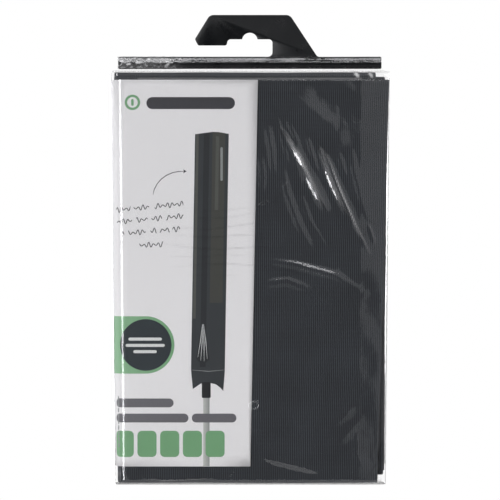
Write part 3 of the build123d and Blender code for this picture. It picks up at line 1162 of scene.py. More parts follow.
@dataclass
class WrapCard:
    """The printed card: a front panel, a round spine on the left and a back panel."""

    sizes: PackSizes
    radius: float = 8.45
    thickness: float = 0.4

    def __post_init__(self) -> None:
        """Read the card's top, bottom and right edges from the frame."""
        low, high = (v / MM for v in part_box("insert_card"))
        self.top, self.bottom = high.z, low.z
        self.right_top = high.x
        self.right_bottom = high.x - 5.3

    def spine(self, z: float) -> float:
        """X of the line where the front panel starts to turn into the spine."""
        return -self.sizes.half_width(z) + 0.55 + self.radius

    def right(self, z: float) -> float:
        """X of the card's right edge at a height."""
        share = (self.top - z) / (self.top - self.bottom)
        return self.right_top + (self.right_bottom - self.right_top) * share

    def place(self, p: float, z: float) -> tuple[float, float, float]:
        """Bend the flat card: p is measured from the spine's front line, negative round the back."""
        wrap = pi * self.radius
        start = self.spine(z)
        bow = 0.07 * ripple(p, z, 60, 9.1)
        if p >= 0:
            return (start + p, -self.radius + bow * smooth(0, 12, p), z)
        if p >= -wrap:
            a = -p / self.radius
            return (start - self.radius * sin(a), -self.radius * cos(a), z)
        return (start - p - wrap, self.radius - bow * smooth(0, 12, -p - wrap), z)

    def front_print(self) -> list[Shape]:
        """What is printed on the front, with generic shapes where the real card has words."""
        shapes = [Shape(Ink.LEAF, disc(-82.2, -44.6, 5.4)), Shape(Ink.BARE, disc(-82.2, -44.6, 3.7))]
        shapes.append(Shape(Ink.LEAF, bar(-83.1, -47, -81.3, -42.2, 0.9)))
        shapes += [Shape(Ink.SCRIPT, bar(-72.4, -40.9, -10.4, -49.3, 4.1, 8))]
        arc = [(-67.8, -109.4), (-67, -105.8), (-65, -101.8), (-62, -98.3), (-58.2, -95.6), (-54, -93.8),
            (-49.8, -93), (-45.2, -92.9)]
        shapes.append(Shape(Ink.SCRIPT, stroke(arc, 0.55)))
        shapes.append(Shape(Ink.SCRIPT, [(-44.2, -92.9), (-46.7, -91.5), (-46.1, -92.9), (-46.7, -94.3)]))
        words = [(-94, -120, -83.6, -119), (-81.4, -119, -70.4, -117.8), (-66.6, -117.4, -46.6, -115.6),
            (-93.4, -128.4, -82.4, -127.4), (-79.6, -127.2, -71.6, -126.6), (-69, -126.2, -61.4, -125.4),
            (-58.6, -125.2, -46.4, -124.2), (-90.6, -136, -88, -135.8), (-85.4, -136.4, -72.8, -135),
            (-69.6, -134.6, -65.2, -134.4), (-63, -134.2, -56, -133.6), (-54.2, -133.6, -48.8, -133),
            (-77.4, -144.8, -60.6, -144)]
        for i, (x0, z0, x1, z1) in enumerate(words):
            shapes.append(Shape(Ink.SCRIPT, scribble(x0, z0, x1, z1, 2.1, i * 1.7)))
        return shapes + self.covered_line() + self.tab() + self.headline()

    def covered_line(self) -> list[Shape]:
        """The drawing of a closed rotary line under its cover, on its pole."""
        def column(left: float, right: float, top: float, low: float) -> list[Point]:
            """A strip of the column between two shares of its width."""
            def at(share: float, z: float) -> Point:
                t = (-66 - z) / (232 - 66)
                x_left, x_right = -38.3 - 2.9 * t, -14.7 - 2.8 * t
                return (x_left + (x_right - x_left) * share, z)
            def crown(share: float) -> float:
                return top + 1.9 * max(0, 1 - abs(share - 0.6) / 0.6) - (0.9 if share > 0.6 else 0) * (share - 0.6)
            rows = [low + (top - low) * i / 8 for i in range(8)]
            return ([at(right, z) for z in rows] + [at(right, crown(right)), at((left + right) / 2,
                crown((left + right) / 2)), at(left, crown(left))] + [at(left, z) for z in rows[::-1]])

        shapes = [Shape(Ink.CLOTH, column(0, 1, -66.9, -232)), Shape(Ink.CLOTH_PALE,
            column(0.03, 0.11, -66.9, -196)), Shape(Ink.CLOTH_DARK, column(0.26, 0.43, -66.9, -230)),
            Shape(Ink.CLOTH_WARM, column(0.52, 0.9, -66.9, -185)), Shape(Ink.CLOTH_PALE,
            column(0.62, 0.72, -70, -120)), Shape(Ink.LINE, bar(-20.6, -76, -18.9, -99.5, 0.8))]
        skirt = [(-41.2, -232), (-39.9, -245.4), (-38.2, -244.2), (-34.4, -241.6), (-29.6, -240.8), (-24, -242),
            (-20.4, -244.6), (-18.6, -246.8), (-17.4, -232)]
        shapes.append(Shape(Ink.CLOTH, skirt))
        shapes.append(Shape(Ink.LINE, stroke([(-41, -232), (-29, -233), (-17.6, -232)], 0.5)))
        opening = [(-33, -197), (-28.2, -224.6), (-30.8, -226.8), (-35.4, -226.4), (-37.6, -224)]
        shapes.append(Shape(Ink.CLOTH_DARK, opening))
        for top_x, low_x, low_z in ((-33.2, -36.4, -223), (-33, -34.4, -225.4), (-32.7, -32, -225.8),
                (-32.4, -29.8, -224.2)):
            middle = ((top_x + low_x) / 2 + 0.3, (low_z - 200) / 2)
            shapes.append(Shape(Ink.PALE, stroke([(top_x, -200), middle, (low_x, low_z)], 0.45)))
        shapes.append(Shape(Ink.BLACK, bar(-33.6, -240.6, -27.4, -251.6, 0.8)))
        shapes.append(Shape(Ink.POLE, bar(-32.6, -251.6, -28.2, -299.4, 0.1), fade=Ink.LINE))
        return shapes

    def tab(self) -> list[Shape]:
        """The green tab that comes round the spine, with a dark disc and three plain bars."""
        centre_x, centre_z, reach = -72.9, -214.5, 20.1
        end = [(centre_x + reach * cos(a), centre_z + reach * sin(a)) for a in np.linspace(-pi / 2, pi / 2, 33)]
        back = -110
        shapes = [Shape(Ink.LEAF_LIGHT, [(back, centre_z - reach), *end, (back, centre_z + reach)], fade=Ink.LEAF)]
        shapes.append(Shape(Ink.NIGHT, disc(centre_x, centre_z, 18.1, 72)))
        for x0, x1, z in ((-85, -61.6, -210.4), (-87, -59.6, -214.8), (-81.6, -65.2, -219.2)):
            shapes.append(Shape(Ink.PALE, bar(x0, z - 1.05, x1, z + 1.05, 1)))
        return shapes

    def headline(self) -> list[Shape]:
        """Plain bars and blocks where the card names its product."""
        shapes = [Shape(Ink.TEXT, bar(-94.4, -252, -53.4, -258.2, 3, 6)), Shape(Ink.TEXT,
            bar(-94.4, -262.6, -43, -268.8, 3, 6)), Shape(Ink.TEXT, bar(-40.6, -262.6, -9.4, -268.8, 3, 6))]
        for i in range(5):
            left = -94.6 + 15.9 * i
            shapes.append(Shape(Ink.LEAF, bar(left, -274.6, left + 13.4, -293, 3.2, 6)))
        return shapes

    def back_print(self) -> list[Shape]:
        """The back: a green band, lines of plain bars, three small pictures and stripes to scan."""
        shapes = [Shape(Ink.LEAF, bar(-84, -40, -6, -56, 3, 6)), Shape(Ink.PALE, bar(-79, -45.2, -40, -50.8, 2.8, 6))]
        for row in range(7):
            z = -66 - row * 5.2
            shapes.append(Shape(Ink.TEXT, bar(-84, z, -84 + 74 - 9 * ((row * 5) % 4), z - 2, 1)))
        for step in range(3):
            left = -84 + 26.5 * step
            shapes.append(Shape(Ink.NIGHT, bar(left, -110, left + 23, -142, 3, 6)))
            wide = (9, 5, 2.6)[step]
            middle = left + 11.5
            shapes.append(Shape(Ink.PALE, [(middle - wide, -117), (middle - 1.2, -133), (middle + 1.2, -133),
                (middle + wide, -117)]))
            shapes.append(Shape(Ink.PALE, bar(middle - 0.5, -133, middle + 0.5, -139, 0.1)))
        for row in range(12):
            z = -152 - row * 4.6
            shapes.append(Shape(Ink.TEXT, bar(-84, z, -84 + 76 - 8 * ((row * 7) % 5), z - 1.7, 0.8)))
        shapes.append(Shape(Ink.LEAF_LIGHT, bar(-84, -216, -6, -234, 3, 6)))
        x = -80
        for i in range(26):
            wide = (0.5, 1, 0.7, 1.4)[(i * i + i // 3) % 4]
            shapes.append(Shape(Ink.BLACK, bar(x, -252, x + wide, -276, 0.05, 1)))
            x += wide + (0.6, 0.9, 0.5)[i % 3]
        for row in range(3):
            shapes.append(Shape(Ink.TEXT, bar(-30, -256 - row * 6, -10 - 3 * row, -258.2 - row * 6, 1)))
        return shapes

    def build(self, material: Material) -> Piece:
        """Print, bend and thicken the card.

        Args:
            material: the printed board.

        Returns:
            The card.
        """
        wrap = pi * self.radius

        def width(z: float) -> float:
            """The front panel's width at a height."""
            return self.right(z) - self.spine(z)

        top, low = self.top, self.bottom
        outline = [(-wrap - width(low), low), (width(low), low), (width(top), top), (-wrap - width(top), top)]
        shapes = []
        for shape in self.front_print():
            moved = [(x - self.spine(z), z) for x, z in shape.outline]
            shapes.append(Shape(shape.ink, moved, shape.fade))
        for shape in self.back_print():
            moved = [(-wrap - (x - self.spine(z)), z) for x, z in shape.outline]
            shapes.append(Shape(shape.ink, moved, shape.fade))
        for i in range(9):
            spot = -self.radius * 0.62
            shapes.append(Shape(Ink.LINE, bar(spot - 0.5, -250.5 - i * 4.1, spot + 0.5, -253.6 - i * 4.1, 0.3, 2)))
        guides = [((-wrap * i / 16, low + 0.01), (-wrap * i / 16, top - 0.01)) for i in range(17)]
        spots = [(s * (6 + 10 * i) - (wrap if s < 0 else 0), low + 9 + 9.5 * k) for s in (-1, 1) for i in range(9)
            for k in range(28)]
        piece = inked_sheet("printed_card", outline, shapes, guides, spots, self.place, self.thickness, material,
            Ink.BOARD)
        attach(piece, "pack_body")
        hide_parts("insert_card")
        return piece


@dataclass
class CareLabel:
    """The satin care label, sewn flat beside the zip, with plain printed lines."""

    def build(self, material: Material) -> Piece:
        """Print and place the label.

        Args:
            material: the printed satin.

        Returns:
            The label.
        """
        low, high = (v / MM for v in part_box("care_label"))
        shapes = []
        for row in range(5):
            z = high.z - 5.0 - row * 3.0
            shapes.append(Shape(Ink.TEXT, bar(-high.x + 3.0, z, -low.x - 3.0 - 2.5 * (row % 3), z - 1.2, 0.5)))
        for i in range(4):
            x = -high.x + 4.2 + 3.9 * i
            shapes.append(Shape(Ink.TEXT, disc(x, low.z + 8.0, 1.3, 20)))
        outline = rect(-high.x, low.z, -low.x, high.z)
        spots = [(-high.x + 2.5 * i, low.z + 3.4 * k) for i in range(1, 8) for k in range(1, 10)]

        def place(p: float, z: float) -> tuple[float, float, float]:
            """Lay the label on the rear leaf, curling a little at its free corners."""
            x = -p
            curl = 0.35 * smooth(8.0, 0.0, z - low.z) * abs((x - (low.x + high.x) / 2) / 10) ** 2
            return (x, high.y + curl * 0.9, z)

        piece = inked_sheet("sewn_label", outline, shapes, [], spots, place, 0.2, material, Ink.BARE)
        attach(piece, "pack_body")
        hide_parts("care_label")
        return piece


# ---- film bag -----------------------------------------------------------------------------------


@dataclass(frozen=True)
class Ridge:
    """A pleat in the film: the line it follows in X and Z, its width, its height and its whitening, which on some
    pleats is a painted highlight.
    """

    line: tuple[Point, ...]
    width: float
    height: float
    white: float = 0.0


FRONT_RIDGES = (
    # two long pulled pleats and the short one beside them; their whitening is partly from handling and partly a
    # painted highlight along the pleats
    Ridge(((20, -61), (28, -72), (35.5, -83), (42.5, -99), (48, -110), (53.5, -121.5)), 2.6, 0.85, 0.5),
    Ridge(((35, -84), (41, -96.5), (47.5, -108.5), (54.5, -122.5)), 3.3, 1.05, 0.2),
    Ridge(((46, -69.5), (52, -86), (58.5, -103), (66, -119), (73.4, -131)), 2.2, 0.75, 0.4),
    Ridge(((50, -73.5), (57.4, -90.5), (64.6, -109), (70.6, -122.4), (74.6, -132), (84.4, -150.4)), 1.8, 0.62, 0.6),
    Ridge(((83.4, -129.6), (85.8, -136.6), (88.4, -144.4)), 1.8, 0.6, 0.2),
    Ridge(((23.4, -104), (26.4, -99.8)), 0.9, 0.35, 0.3),
    Ridge(((3.6, -118.8), (8, -115.9), (11.9, -113.6), (13.6, -116.2)), 0.9, 0.4, 0.3),
    # the broad swell that hangs from the upper fold
    Ridge(((14, -31), (26, -40), (40, -50), (52, -60), (61, -66.5), (70, -62), (76, -54)), 11, 1.3),
    Ridge(((58, -33), (70, -36), (80, -38.5)), 5, 0.3),
    # two turned-up bits of film over the inner fold, barely lifted: their whitening paints the highlights on these
    # folds
    Ridge(((73.6, -22.2), (75, -24.6), (76.6, -27.6)), 2.6, 0.1, 1.3),
    Ridge(((83.4, -22.6), (85, -25), (86.4, -27.4)), 2.2, 0.1, 1.3),
    # thin folds that fan out below it
    Ridge(((15, -45), (20, -58), (24, -74), (27, -92)), 1.6, 0.35),
    Ridge(((19, -42), (26, -55), (32, -70), (36, -88), (41, -112)), 2.2, 0.5),
    Ridge(((35, -54), (40, -68), (44, -82), (47.4, -94)), 1.6, 0.45, 0.05),
    Ridge(((12, -60), (15, -78), (17, -98)), 2.4, 0.5),
    Ridge(((60, -70), (63, -84), (67, -97)), 2, 0.4),
    Ridge(((70, -72), (73, -92), (78, -112), (86, -132)), 2.4, 0.5),
    Ridge(((22, -86), (26, -108), (34, -130), (44, -150)), 2.6, 0.55),
    Ridge(((34, -104), (42, -128), (54, -148)), 2, 0.4),
    Ridge(((6, -76), (9, -96), (8, -112)), 3, 0.5),
    # level waves across the card and the cloth's upper half
    Ridge(((-40, -119.6), (-28, -120.9), (-10, -119.4), (4, -117.6)), 0.9, 0.16, 0.1),
    Ridge(((-42, -124.8), (-28, -126.2), (-12, -125), (2, -122)), 0.9, 0.2, 0.14),
    Ridge(((-50, -132.4), (-28, -133.6), (-8, -130.8), (16, -127.6)), 0.9, 0.22, 0.16),
    Ridge(((-52, -137.4), (-30, -139.2), (-6, -137.4), (10, -138.2)), 0.9, 0.2, 0.16),
    Ridge(((-62, -143), (-40, -146.6), (-20, -147.4), (8, -145.6), (30, -149)), 1, 0.24, 0.18),
    Ridge(((-64, -152), (-36, -153.2), (-16, -151), (8, -153)), 0.9, 0.16, 0.1),
    Ridge(((-56, -160.4), (-36, -158.2), (-14, -157.4), (12, -159.8), (46, -166)), 1, 0.2, 0.14),
    Ridge(((-46, -166.4), (-28, -165), (-6, -166.2)), 0.9, 0.14, 0.08),
    Ridge(((4, -155), (30, -158), (60, -166), (80, -178)), 2.6, 0.9),
    Ridge(((6, -172), (26, -170), (44, -176)), 3, 0.9),
    # pulls towards the lower right corner
    Ridge(((54, -271), (64, -265), (74, -257)), 4, 0.4, 0.03),
    Ridge(((60, -284), (68, -276), (76, -268)), 3.4, 0.35, 0.03),
    Ridge(((68, -266), (70, -273), (68.6, -282)), 1, 0.15, 0.14),
    Ridge(((74, -271), (75.6, -284), (75.4, -292), (79, -299)), 1, 0.15, 0.14),
    Ridge(((88.4, -274), (89.4, -281), (88.8, -287)), 0.9, 0.12, 0.16),
    Ridge(((-78, -306.4), (-60, -309), (-40, -308.2), (-22, -306.4)), 1.1, 0.35, 0.25),
    Ridge(((6, -292), (26, -297), (50, -303)), 2.2, 0.6),
    Ridge(((-97, -308), (-90, -304), (-84, -307)), 1, 0.4, 0.3),
    Ridge(((-14, -305.4), (-11, -303.4)), 0.9, 0.4, 0.4),
)


def film_wrinkles(across: np.ndarray, height: np.ndarray, ridges: Sequence[Ridge]) -> tuple[np.ndarray, np.ndarray]:
    """How far ridges lift the film, and how much they whiten it.

    Args:
        across: X of the film's points, in millimetres.
        height: Z of the film's points.
        ridges: the pleats.

    Returns:
        The lift in millimetres and the whitening from 0 to 1.
    """
    lift, white = np.zeros(across.shape), np.zeros(across.shape)
    for ridge in ridges:
        line = np.array(ridge.line)
        steps = np.hypot(*np.diff(line, axis=0).T)
        total, run = steps.sum(), np.concatenate(([0.0], np.cumsum(steps)))
        near = np.full(across.shape, 1e9)
        along = np.zeros(across.shape)
        for i in range(len(steps)):
            a, d = line[i], line[i + 1] - line[i]
            t = np.clip(((across - a[0]) * d[0] + (height - a[1]) * d[1]) / (d @ d), 0, 1)
            gap = np.hypot(across - a[0] - t * d[0], height - a[1] - t * d[1])
            closer = gap < near
            near[closer] = gap[closer]
            along[closer] = ((run[i] + t * steps[i]) / total)[closer]
        taper = np.sin(np.pi * np.clip(along, 0.02, 0.98)) ** 0.6
        shape = np.exp(-((near / ridge.width) ** 2))
        lift = np.maximum(lift, ridge.height * shape * taper)
        white = np.maximum(white, ridge.white * np.exp(-((near / (0.45 * ridge.width)) ** 2)) * taper)
    return lift, white


@dataclass
class FilmBag:
    """The clear bag: header hem, front, back, closing flap and glue."""

    sizes: PackSizes
    gauge: float = 0.08
    swell: float = 8.9

    def profile(self) -> list[tuple[float, float]]:
        """Height and half depth of the bag from the neck down, rounding under at the bottom."""
        s = self.sizes
        drops = ((0.1, 0.2), (0.8, 0.22), (1.25, 0.9), (1.5, 2.6), (1.75, 4.2), (2.15, 5.3), (2.9, 5.8), (3.8, 6.0),
            (4.8, 6.2), (5.8, 6.5), (6.4, 7.0), (6.9, 7.9), (7.4, 8.6))
        rows = [(s.neck_z - drop, depth) for drop, depth in drops]
        z = s.neck_z - 8.0
        while z > s.bottom_z + 4.4:
            rows.append((z, self.swell + 0.02))
            z -= 1.0 if z > -168 else 1.5
        round_r = 3.6
        for i in range(7):
            a = pi / 2 * i / 6
            rows.append((s.bottom_z + 0.1 + round_r * (1 - sin(a)), self.swell + 0.02 - round_r * (1 - cos(a))))
        return rows

    def stations(self) -> list[tuple[float, float]]:
        """Places round the front from the left seam to the right one: side and share."""
        arc = [(-2.0, a) for a in np.linspace(0, 75, 6)]
        flat = [(0.0, t) for t in np.concatenate((np.linspace(-1, 0.02, 50), np.linspace(0.03, 1, 92)))]
        return arc + flat + [(2.0, a) for a in np.linspace(75, 0, 6)]

    def cast(self, half: float, depth: float, station: tuple[float, float]) -> tuple[float, float]:
        """X and outward depth of a station on a rounded side or the flat face."""
        side, value = station
        left, right = min(depth, self.swell), min(depth, 1.2)
        if side:
            a = radians(value)
            corner = left if side < 0 else right
            return (math.copysign(half - corner + corner * cos(a), side), depth * sin(a))
        return (-half + left + (2 * half - left - right) * (value + 1) / 2, depth)

    def skin(self, name: str, sign: float, ridges: Sequence[Ridge], rows: list[tuple[float, float]],
            material: Material, seed: float, floor: bool) -> Piece:
        """One panel of film over the contents.

        Args:
            name: the piece's name.
            sign: -1 for the front, 1 for the back.
            ridges: its pleats.
            rows: height and half depth of each row of points.
            material: the film.
            seed: what makes its small waves its own.
            floor: whether it runs on under the pack to the back fold.

        Returns:
            The panel.
        """
        stations = self.stations()
        points, flats = [], []
        for z, depth in rows:
            half = self.sizes.half_width(z)
            if z > self.sizes.neck_z - 1.4:
                half = self.sizes.neck_half + (half - self.sizes.neck_half) * smooth(0.3, 1.4, self.sizes.neck_z - z)
            for station in stations:
                x, y = self.cast(half, depth, station)
                lean = 0.04 + 0.075 * smooth(-178, -140, z)
                slope = lean * max(0.0, x - (half - 20.0)) * min(1.0, depth / self.swell)
                points.append([x, y - slope * (1 if station[0] == 0 else abs(y) / depth), z])
                flats.append(min(1.0, y / self.swell) ** 3 * smooth(half - 1, half - 7, abs(x)))
        if floor:
            last_z = rows[-1][0]
            for depth in (4.0, 2.0, 0.0, -3.0, -6.0, -self.swell):
                half = self.sizes.half_width(last_z) - 3.0 * (abs(depth) / self.swell) ** 2
                for station in stations:
                    x, _ = self.cast(half, self.swell, station)
                    points.append([x, depth, last_z + 0.12 * ripple(x, depth, 14, seed)])
                    flats.append(0.0)
        spots = np.array(points)
        flats = np.array(flats)
        lift, white = film_wrinkles(spots[:, 0], spots[:, 2], ridges)
        small = np.array([0.16 * (1 + 1.3 * smooth(0, 12, x)) * ripple(x * 0.8 + z * 0.5, z * 0.35 - x * 0.55, 17,
            seed) + 0.05 * ripple(x, z, 6, seed + 4) for x, _, z in points])
        spots[:, 1] = spots[:, 1] + (lift + small + 0.08) * flats
        spots[:, 1] *= sign
        faces = grid_faces(len(spots) // len(stations), len(stations))
        if sign > 0:
            faces = [f[::-1] for f in faces]
        faces = [f[::-1] for f in faces]
        piece = new_piece(name, spots, faces, material)
        whiten(piece, white)
        return piece

    def front(self, material: Material) -> Piece:
        """The front panel, with the vent hole's melted rim, running under the pack to the back fold."""
        piece = self.skin("film_front", -1, FRONT_RIDGES, self.profile(), material, 3.7, True)
        vent_x, vent_z = 3.4, self.sizes.bottom_z + 56.0
        cut = bmesh.new()
        cut.from_mesh(piece.data)
        gone = [v for v in cut.verts if v.co.y < -0.006 and hypot(v.co.x / MM - vent_x, v.co.z / MM - vent_z) < 1.7]
        bmesh.ops.delete(cut, geom=gone, context="VERTS")
        rim = [e.verts for e in cut.edges if e.is_boundary and all(hypot(v.co.x / MM - vent_x,
            v.co.z / MM - vent_z) < 5 for v in e.verts)]
        for vert in {v for pair in rim for v in pair}:
            dx, dz = vert.co.x / MM - vent_x, vert.co.z / MM - vent_z
            size = hypot(dx, dz) or 1.0
            vert.co.x, vert.co.z = (vent_x + dx / size * 2.0) * MM, (vent_z + dz / size * 2.0) * MM
            vert.co.y -= 0.1 * MM
        cut.to_mesh(piece.data)
        cut.free()
        thicken(piece, self.gauge)
        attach(piece, "pack_body")
        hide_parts("bag_front")
        return piece

    def back(self, material: Material) -> Piece:
        """The back panel, down to its free edge above the flap's fold."""
        rng = np.random.default_rng(11)
        ridges = []
        for _ in range(26):
            x, z = rng.uniform(-80, 70), rng.uniform(-285, -40)
            lean, long = rng.uniform(-1.2, 0.4), rng.uniform(16, 60)
            bend = rng.uniform(-4, 4)
            line = ((x, z), (x + long / 2 * cos(lean) + bend, z + long / 2 * sin(lean)),
                (x + long * cos(lean), z + long * sin(lean) - bend))
            ridges.append(Ridge(line, float(rng.uniform(1.0, 3.2)), float(rng.uniform(0.2, 0.55)),
                float(rng.uniform(0, 0.12))))
        rows = [(z, d) for z, d in self.profile() if z > self.sizes.bottom_z + 13.0 or d < self.swell and z > -40]
        piece = self.skin("film_back", 1, ridges, rows, material, 8.2, False)
        thicken(piece, self.gauge)
        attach(piece, "pack_body")
        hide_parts("bag_back")
        return piece

    def hem(self, material: Material) -> Piece:
        """The header: film folded round the rail, crumpled at its left end."""
        low, high = (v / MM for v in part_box("header_hem"))
        foot_left, foot_right = 11.6, 51.8
        columns = 240
        sides = np.linspace(0.0, 1.0, 9)
        loop = [(-1, s) for s in sides] + [(1, s) for s in sides[::-1]]
        points, whites = [], []
        for i in range(columns + 1):
            x = low.x + (high.x - low.x) * i / columns
            crumple = smooth(-40, -62, x)
            for face, s in loop:
                z = low.z + 0.1 + (high.z - low.z - 0.2) * s
                fullness = sin(pi * s) ** 0.8
                bulge = 0.15 + 0.45 * math.exp(-(((s - 0.4) / 0.24) ** 2)) + 0.16 * ripple(x, s * 6, 30, 5.0 + face)
                bulge += crumple * (0.1 + 0.6 * smooth(0.4, 0.65, s)) * abs(ripple(x * 0.55, z * 1.6 + x * 0.5, 3.2,
                    2.0 + face))
                y = face * (0.3 + 0.25 * smooth(0, 0.2, s) + (0.25 + bulge) * fullness)
                wave = 0.25 * ripple(x, 0, 40, 6.0) * (1 if s > 0.5 else 0.4) + crumple * 0.35 * ripple(x, s, 5, 1.0)
                points.append((x, y, z + wave * (0 if s == 0 else 1 if s == 1 else 0.5)))
                notch = smooth(-86, -93, x) * math.exp(-(((s - 0.45) / 0.12) ** 2))
                points[-1] = (points[-1][0] + 3.2 * notch, points[-1][1], points[-1][2])
                # on the crumpled end the whitening is partly from handling and partly a painted highlight on the
                # crumples
                crest = max(0.0, ripple(x * 0.6, z * 2.2 + x * 0.4, 2.4, 12.0 + face))
                whites.append(min(0.85, crumple * (0.22 + 0.9 * crest) + 0.06 * max(0.0, ripple(x, z, 9, 3.0))))
        size = len(loop)
        faces = []
        for r, face in enumerate(grid_faces(columns + 1, size, wrap=True)):
            column, place = divmod(r, size)
            x = low.x + (high.x - low.x) * (column + 0.5) / columns
            if place == len(sides) - 1 and foot_left < x < foot_right:
                continue
            faces.append(face)
        piece = new_piece("film_hem", points, faces, material)
        whiten(piece, whites)
        thicken(piece, self.gauge)
        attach(piece, "hanger_body")
        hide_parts("header_hem")
        return piece

    def flap(self, film: Material, glue: Material) -> list[Piece]:
        """The closing flap up the back, and the strip of glue under its free edge."""
        low, high = (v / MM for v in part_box("bag_flap"))
        columns, rows = 90, 26
        y_middle = (low.y + high.y) / 2
        points, whites = [], []
        for r in range(rows + 1):
            z = low.z + 0.05 + (high.z - low.z - 0.1) * r / rows
            for c in range(columns + 1):
                x = low.x + (high.x - low.x) * c / columns
                wave = 0.28 * ripple(x, z, 22, 6.1) * smooth(0, 8, z - low.z) * smooth(0, 14, high.z - z)
                points.append((x, y_middle + abs(wave), z))
                whites.append(0.25 * math.exp(-(((z - low.z) / 0.9) ** 2)) + 0.1 * max(0.0, ripple(x, z, 7, 1.0)))
        flap = new_piece("film_flap", points, [f[::-1] for f in grid_faces(rows + 1, columns + 1)], film)
        whiten(flap, whites)
        thicken(flap, self.gauge)
        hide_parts("bag_flap")
        low, high = (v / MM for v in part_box("flap_adhesive"))
        points = []
        for r in range(9):
            z = low.z + (high.z - low.z) * r / 8
            for c in range(91):
                x = low.x + (high.x - low.x) * c / 90
                edge = 0.25 * ripple(x, r, 5, 2.0) if r in (0, 8) else 0.0
                points.append((x, (low.y + high.y) / 2, z + edge))
        strip = new_piece("glue_strip", points, [f[::-1] for f in grid_faces(9, 91)], glue)
        thicken(strip, 0.12)
        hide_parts("flap_adhesive")
        for piece in (flap, strip):
            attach(piece, "flap_body")
        return [flap, strip]


# ---- studio ---------------------------------------------------------------------------------------


@dataclass
class Studio:
    """Pale floor, soft light from all round and a camera straight in front."""

    lens: float = 100.0
    view_width: float = 0.35
    middle_z: float = -0.148
    strip: float = 7.6
    panel: float = 0.38

    def floor(self) -> None:
        """A plain pale disc under the pack."""
        count = 96
        points = [(0.0, 0.0, -460.0)] + [(560 * cos(tau * i / count), 560 * sin(tau * i / count),
            -460.0) for i in range(count)]
        faces = [(0, i + 1, (i + 1) % count + 1) for i in range(count)]
        finish = HardSkin("floor, matt paint", "E4E3E1", "E0DFDD", 0.8, grain=0.05, patch_mm=120.0)
        new_piece("floor", points, faces, finish.material(), rounded=False)

    def camera(self) -> None:
        """A long lens at the height of the pack's middle."""
        data = bpy.data.cameras.new("camera")
        data.lens = self.lens
        data.sensor_width = 36.0
        data.clip_start = 0.05
        camera = bpy.data.objects.new("camera", data)
        distance = self.view_width * self.lens / 36.0
        camera.location = (0.00014, -0.009 - distance, self.middle_z)
        camera.rotation_euler = (pi / 2, 0.0, 0.0)
        bpy.context.scene.collection.objects.link(camera)
        bpy.context.scene.camera = camera

    def light(self) -> None:
        """A white room with a tall lamp at the left, a bar lamp above, and dark behind the camera."""
        world = bpy.data.worlds.new("studio")
        bpy.context.scene.world = world
        world.use_nodes = True
        tree = world.node_tree
        tree.nodes.clear()
        place = add_node(tree, "TexCoord")
        parts = add_node(tree, "SeparateXYZ", {}, {0: place.outputs["Generated"]})
        made = {axis: parts.outputs[axis] for axis in "XYZ"}
        # each row makes one node from numbers and earlier rows
        rows = (("front", "ABSOLUTE", "Y"), ("across", "POWER", "X", 2.0), ("level", "POWER", "Z", 2.0),
            ("facing", "MULTIPLY_ADD", "level", 0.3, "across"), ("rim", "SMOOTHSTEP", "facing", 0.019, 0.042, 0.02,
            self.panel), ("wide", "SMOOTHSTEP", "front", 0.62, 0.4, 0.0, 0.7), ("up", "LINEAR", "Z", -0.5, 0.3, 0.3,
            1.1), ("roof", "LINEAR", "Z", 0.66, 0.78, 1.0, 0.25), ("ring", "ADD", "rim", "wide"),
            ("soft", "MULTIPLY", "ring", "roof"), ("room", "MULTIPLY", "soft", "up"),
            ("side", "DIVIDE", "X", "front"), ("bank", "ABSOLUTE", "side"), ("tube", "COMPARE", "side", -0.5, 0.13),
            ("tall", "COMPARE", "Z", 0.1, 0.5), ("lamp", "MULTIPLY", "tube", "tall"),
            ("rise", "DIVIDE", "Z", "front"), ("above", "COMPARE", "rise", 0.5, 0.05),
            ("narrow", "LESS_THAN", "bank", 0.42), ("bar", "MULTIPLY", "above", "narrow"),
            ("half_bar", "MULTIPLY", "bar", 0.4), ("lamps", "ADD", "lamp", "half_bar"),
            ("glow", "MULTIPLY_ADD", "lamps", self.strip, "room"))
        for name, rule, *terms in rows:
            ramp = rule in ("SMOOTHSTEP", "LINEAR")
            settings = {"interpolation_type" if ramp else "operation": rule}
            settings |= {i: term for i, term in enumerate(terms) if not isinstance(term, str)}
            links = {i: made[term] for i, term in enumerate(terms) if isinstance(term, str)}
            made[name] = add_node(tree, "MapRange" if ramp else "Math", settings, links)
        lit = add_node(tree, "Background", {"Color": linear("FBFBFE")}, {"Strength": made["glow"]})
        white = add_node(tree, "Background", {"Color": (1, 1, 1, 1), "Strength": 1.0})
        seen = add_node(tree, "LightPath")
        both = add_node(tree, "MixShader", {}, {0: seen, 1: lit, 2: white})
        add_node(tree, "OutputWorld", {}, {"Surface": both})

    def build(self) -> None:
        """Set up the camera, the light and the floor."""
        bpy.context.scene.view_settings.view_transform = "Standard"
        # the glue strip lies behind six clear faces, and light has to pass them both ways
        bpy.context.scene.cycles.transparent_max_bounces = 24
        self.camera()
        self.light()
        self.floor()


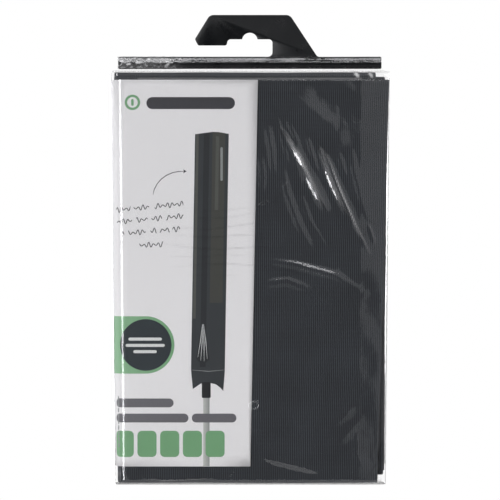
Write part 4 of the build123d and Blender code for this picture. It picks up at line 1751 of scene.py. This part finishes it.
def sew(sizes: PackSizes, thread: Material) -> list[Piece]:
    """Sew the zip tapes, the hem bands and the label with rows of stitches.

    Args:
        sizes: the pack's sizes; not used.
        thread: the thread's finish.

    Returns:
        The rows of stitches.
    """
    sewing = Sewing()
    group = sewing.tree()
    made = []
    for side in ("left", "right"):
        low, high = (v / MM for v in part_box(f"zip_tape_{side}"))
        outer = low.x if side == "left" else high.x
        step = 1.0 if side == "left" else -1.0
        lines = [[(outer + step * inset, high.y + 0.02, low.z + 2), (outer + step * inset, high.y + 0.02,
            high.z - 2)] for inset in (1.6, 6.8)]
        made.append(sewing.rows(f"tape_stitches_{side}", lines, group, thread, "zip_tape"))
    low, high = (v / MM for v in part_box("cover_hem_binding"))
    spans = ((low.x + 6.5, 28.6), (63.4, high.x - 4.5))
    lines = [[(a, high.y - 0.3, low.z + 9.4), (b, high.y - 0.3, low.z + 9.4)] for a, b in spans]
    made.append(sewing.rows("band_stitches", lines, group, thread, "binding_cloth", Pitch=0.0034))
    low, high = (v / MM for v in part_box("care_label"))
    lines = [[(low.x + 1.5, high.y + 0.02, high.z - 1.4), (high.x - 1.5, high.y + 0.02, high.z - 1.4)]]
    made.append(sewing.rows("label_stitches", lines, group, thread, "label_cloth", Pitch=0.0024, Length=0.0017,
        Radius=0.00015))
    return made


def report(pieces: Piece | Sequence[Piece]) -> None:
    """Log the name and size of each finished piece."""
    for piece in [pieces] if isinstance(pieces, Piece) else pieces:
        log.info("%s: %d faces", piece.name, len(piece.data.polygons))


def main() -> None:
    """Build the studio and every piece of the pack, in order."""
    logging.basicConfig(level=logging.INFO, format="%(name)s %(message)s")
    Studio().build()
    sizes = PackSizes.measured()
    charcoal = WovenCloth("polyester, woven charcoal", "3B4046", "07080A", rib_mm=1.4).material()
    band = WovenCloth("polyester tape, woven black", "24272A", "131517", rib_mm=0.9, pick_mm=1.4, bump=0.3).material()
    zip_cloth = WovenCloth("polyester zip tape, woven", "22252A", "111315", rib_mm=1.0, pick_mm=0.7,
        bump=0.4).material()
    board = PrintedBoard("boxboard, coated and offset printed").material()
    satin = PrintedBoard("nylon satin, printed", varnish=0.55, fibre_mm=0.5).material()
    film = ClearFilm("polypropylene film, cast clear").material()
    nylon = HardSkin("nylon, drawn black", "1D1F22", "2A2D31", 0.35, grain_mm=0.3).material()
    zinc = HardSkin("zinc alloy, die-cast and plated", "9A9DA1", "7E8185", 0.28, metallic=1.0, grain_mm=0.4).material()
    thread = HardSkin("polyester thread, twisted", "2E3236", "3A3F44", 0.6, grain_mm=0.3, grain=0.4).material()

    report(Hanger().build())
    report(FoldedCover(sizes).build(charcoal))
    trim = CoverTrim(sizes)
    report(trim.cap(charcoal))
    report(trim.binding(band))
    closure = Zip()
    group = closure.coil_tree()
    for side in ("left", "right"):
        report(closure.tape(side, zip_cloth))
        report(closure.coil(side, group, nylon))
    report(closure.slider(zinc))
    report(closure.puller(zinc))
    report(closure.stops(zinc))
    report(CareLabel().build(satin))
    report(sew(sizes, thread))
    report(WrapCard(sizes).build(board))
    bag = FilmBag(sizes)
    report(bag.hem(film))
    report(bag.front(film))
    report(bag.back(film))
    report(bag.flap(film, MeltGlue().material()))


if __name__ == "__main__":
    main()
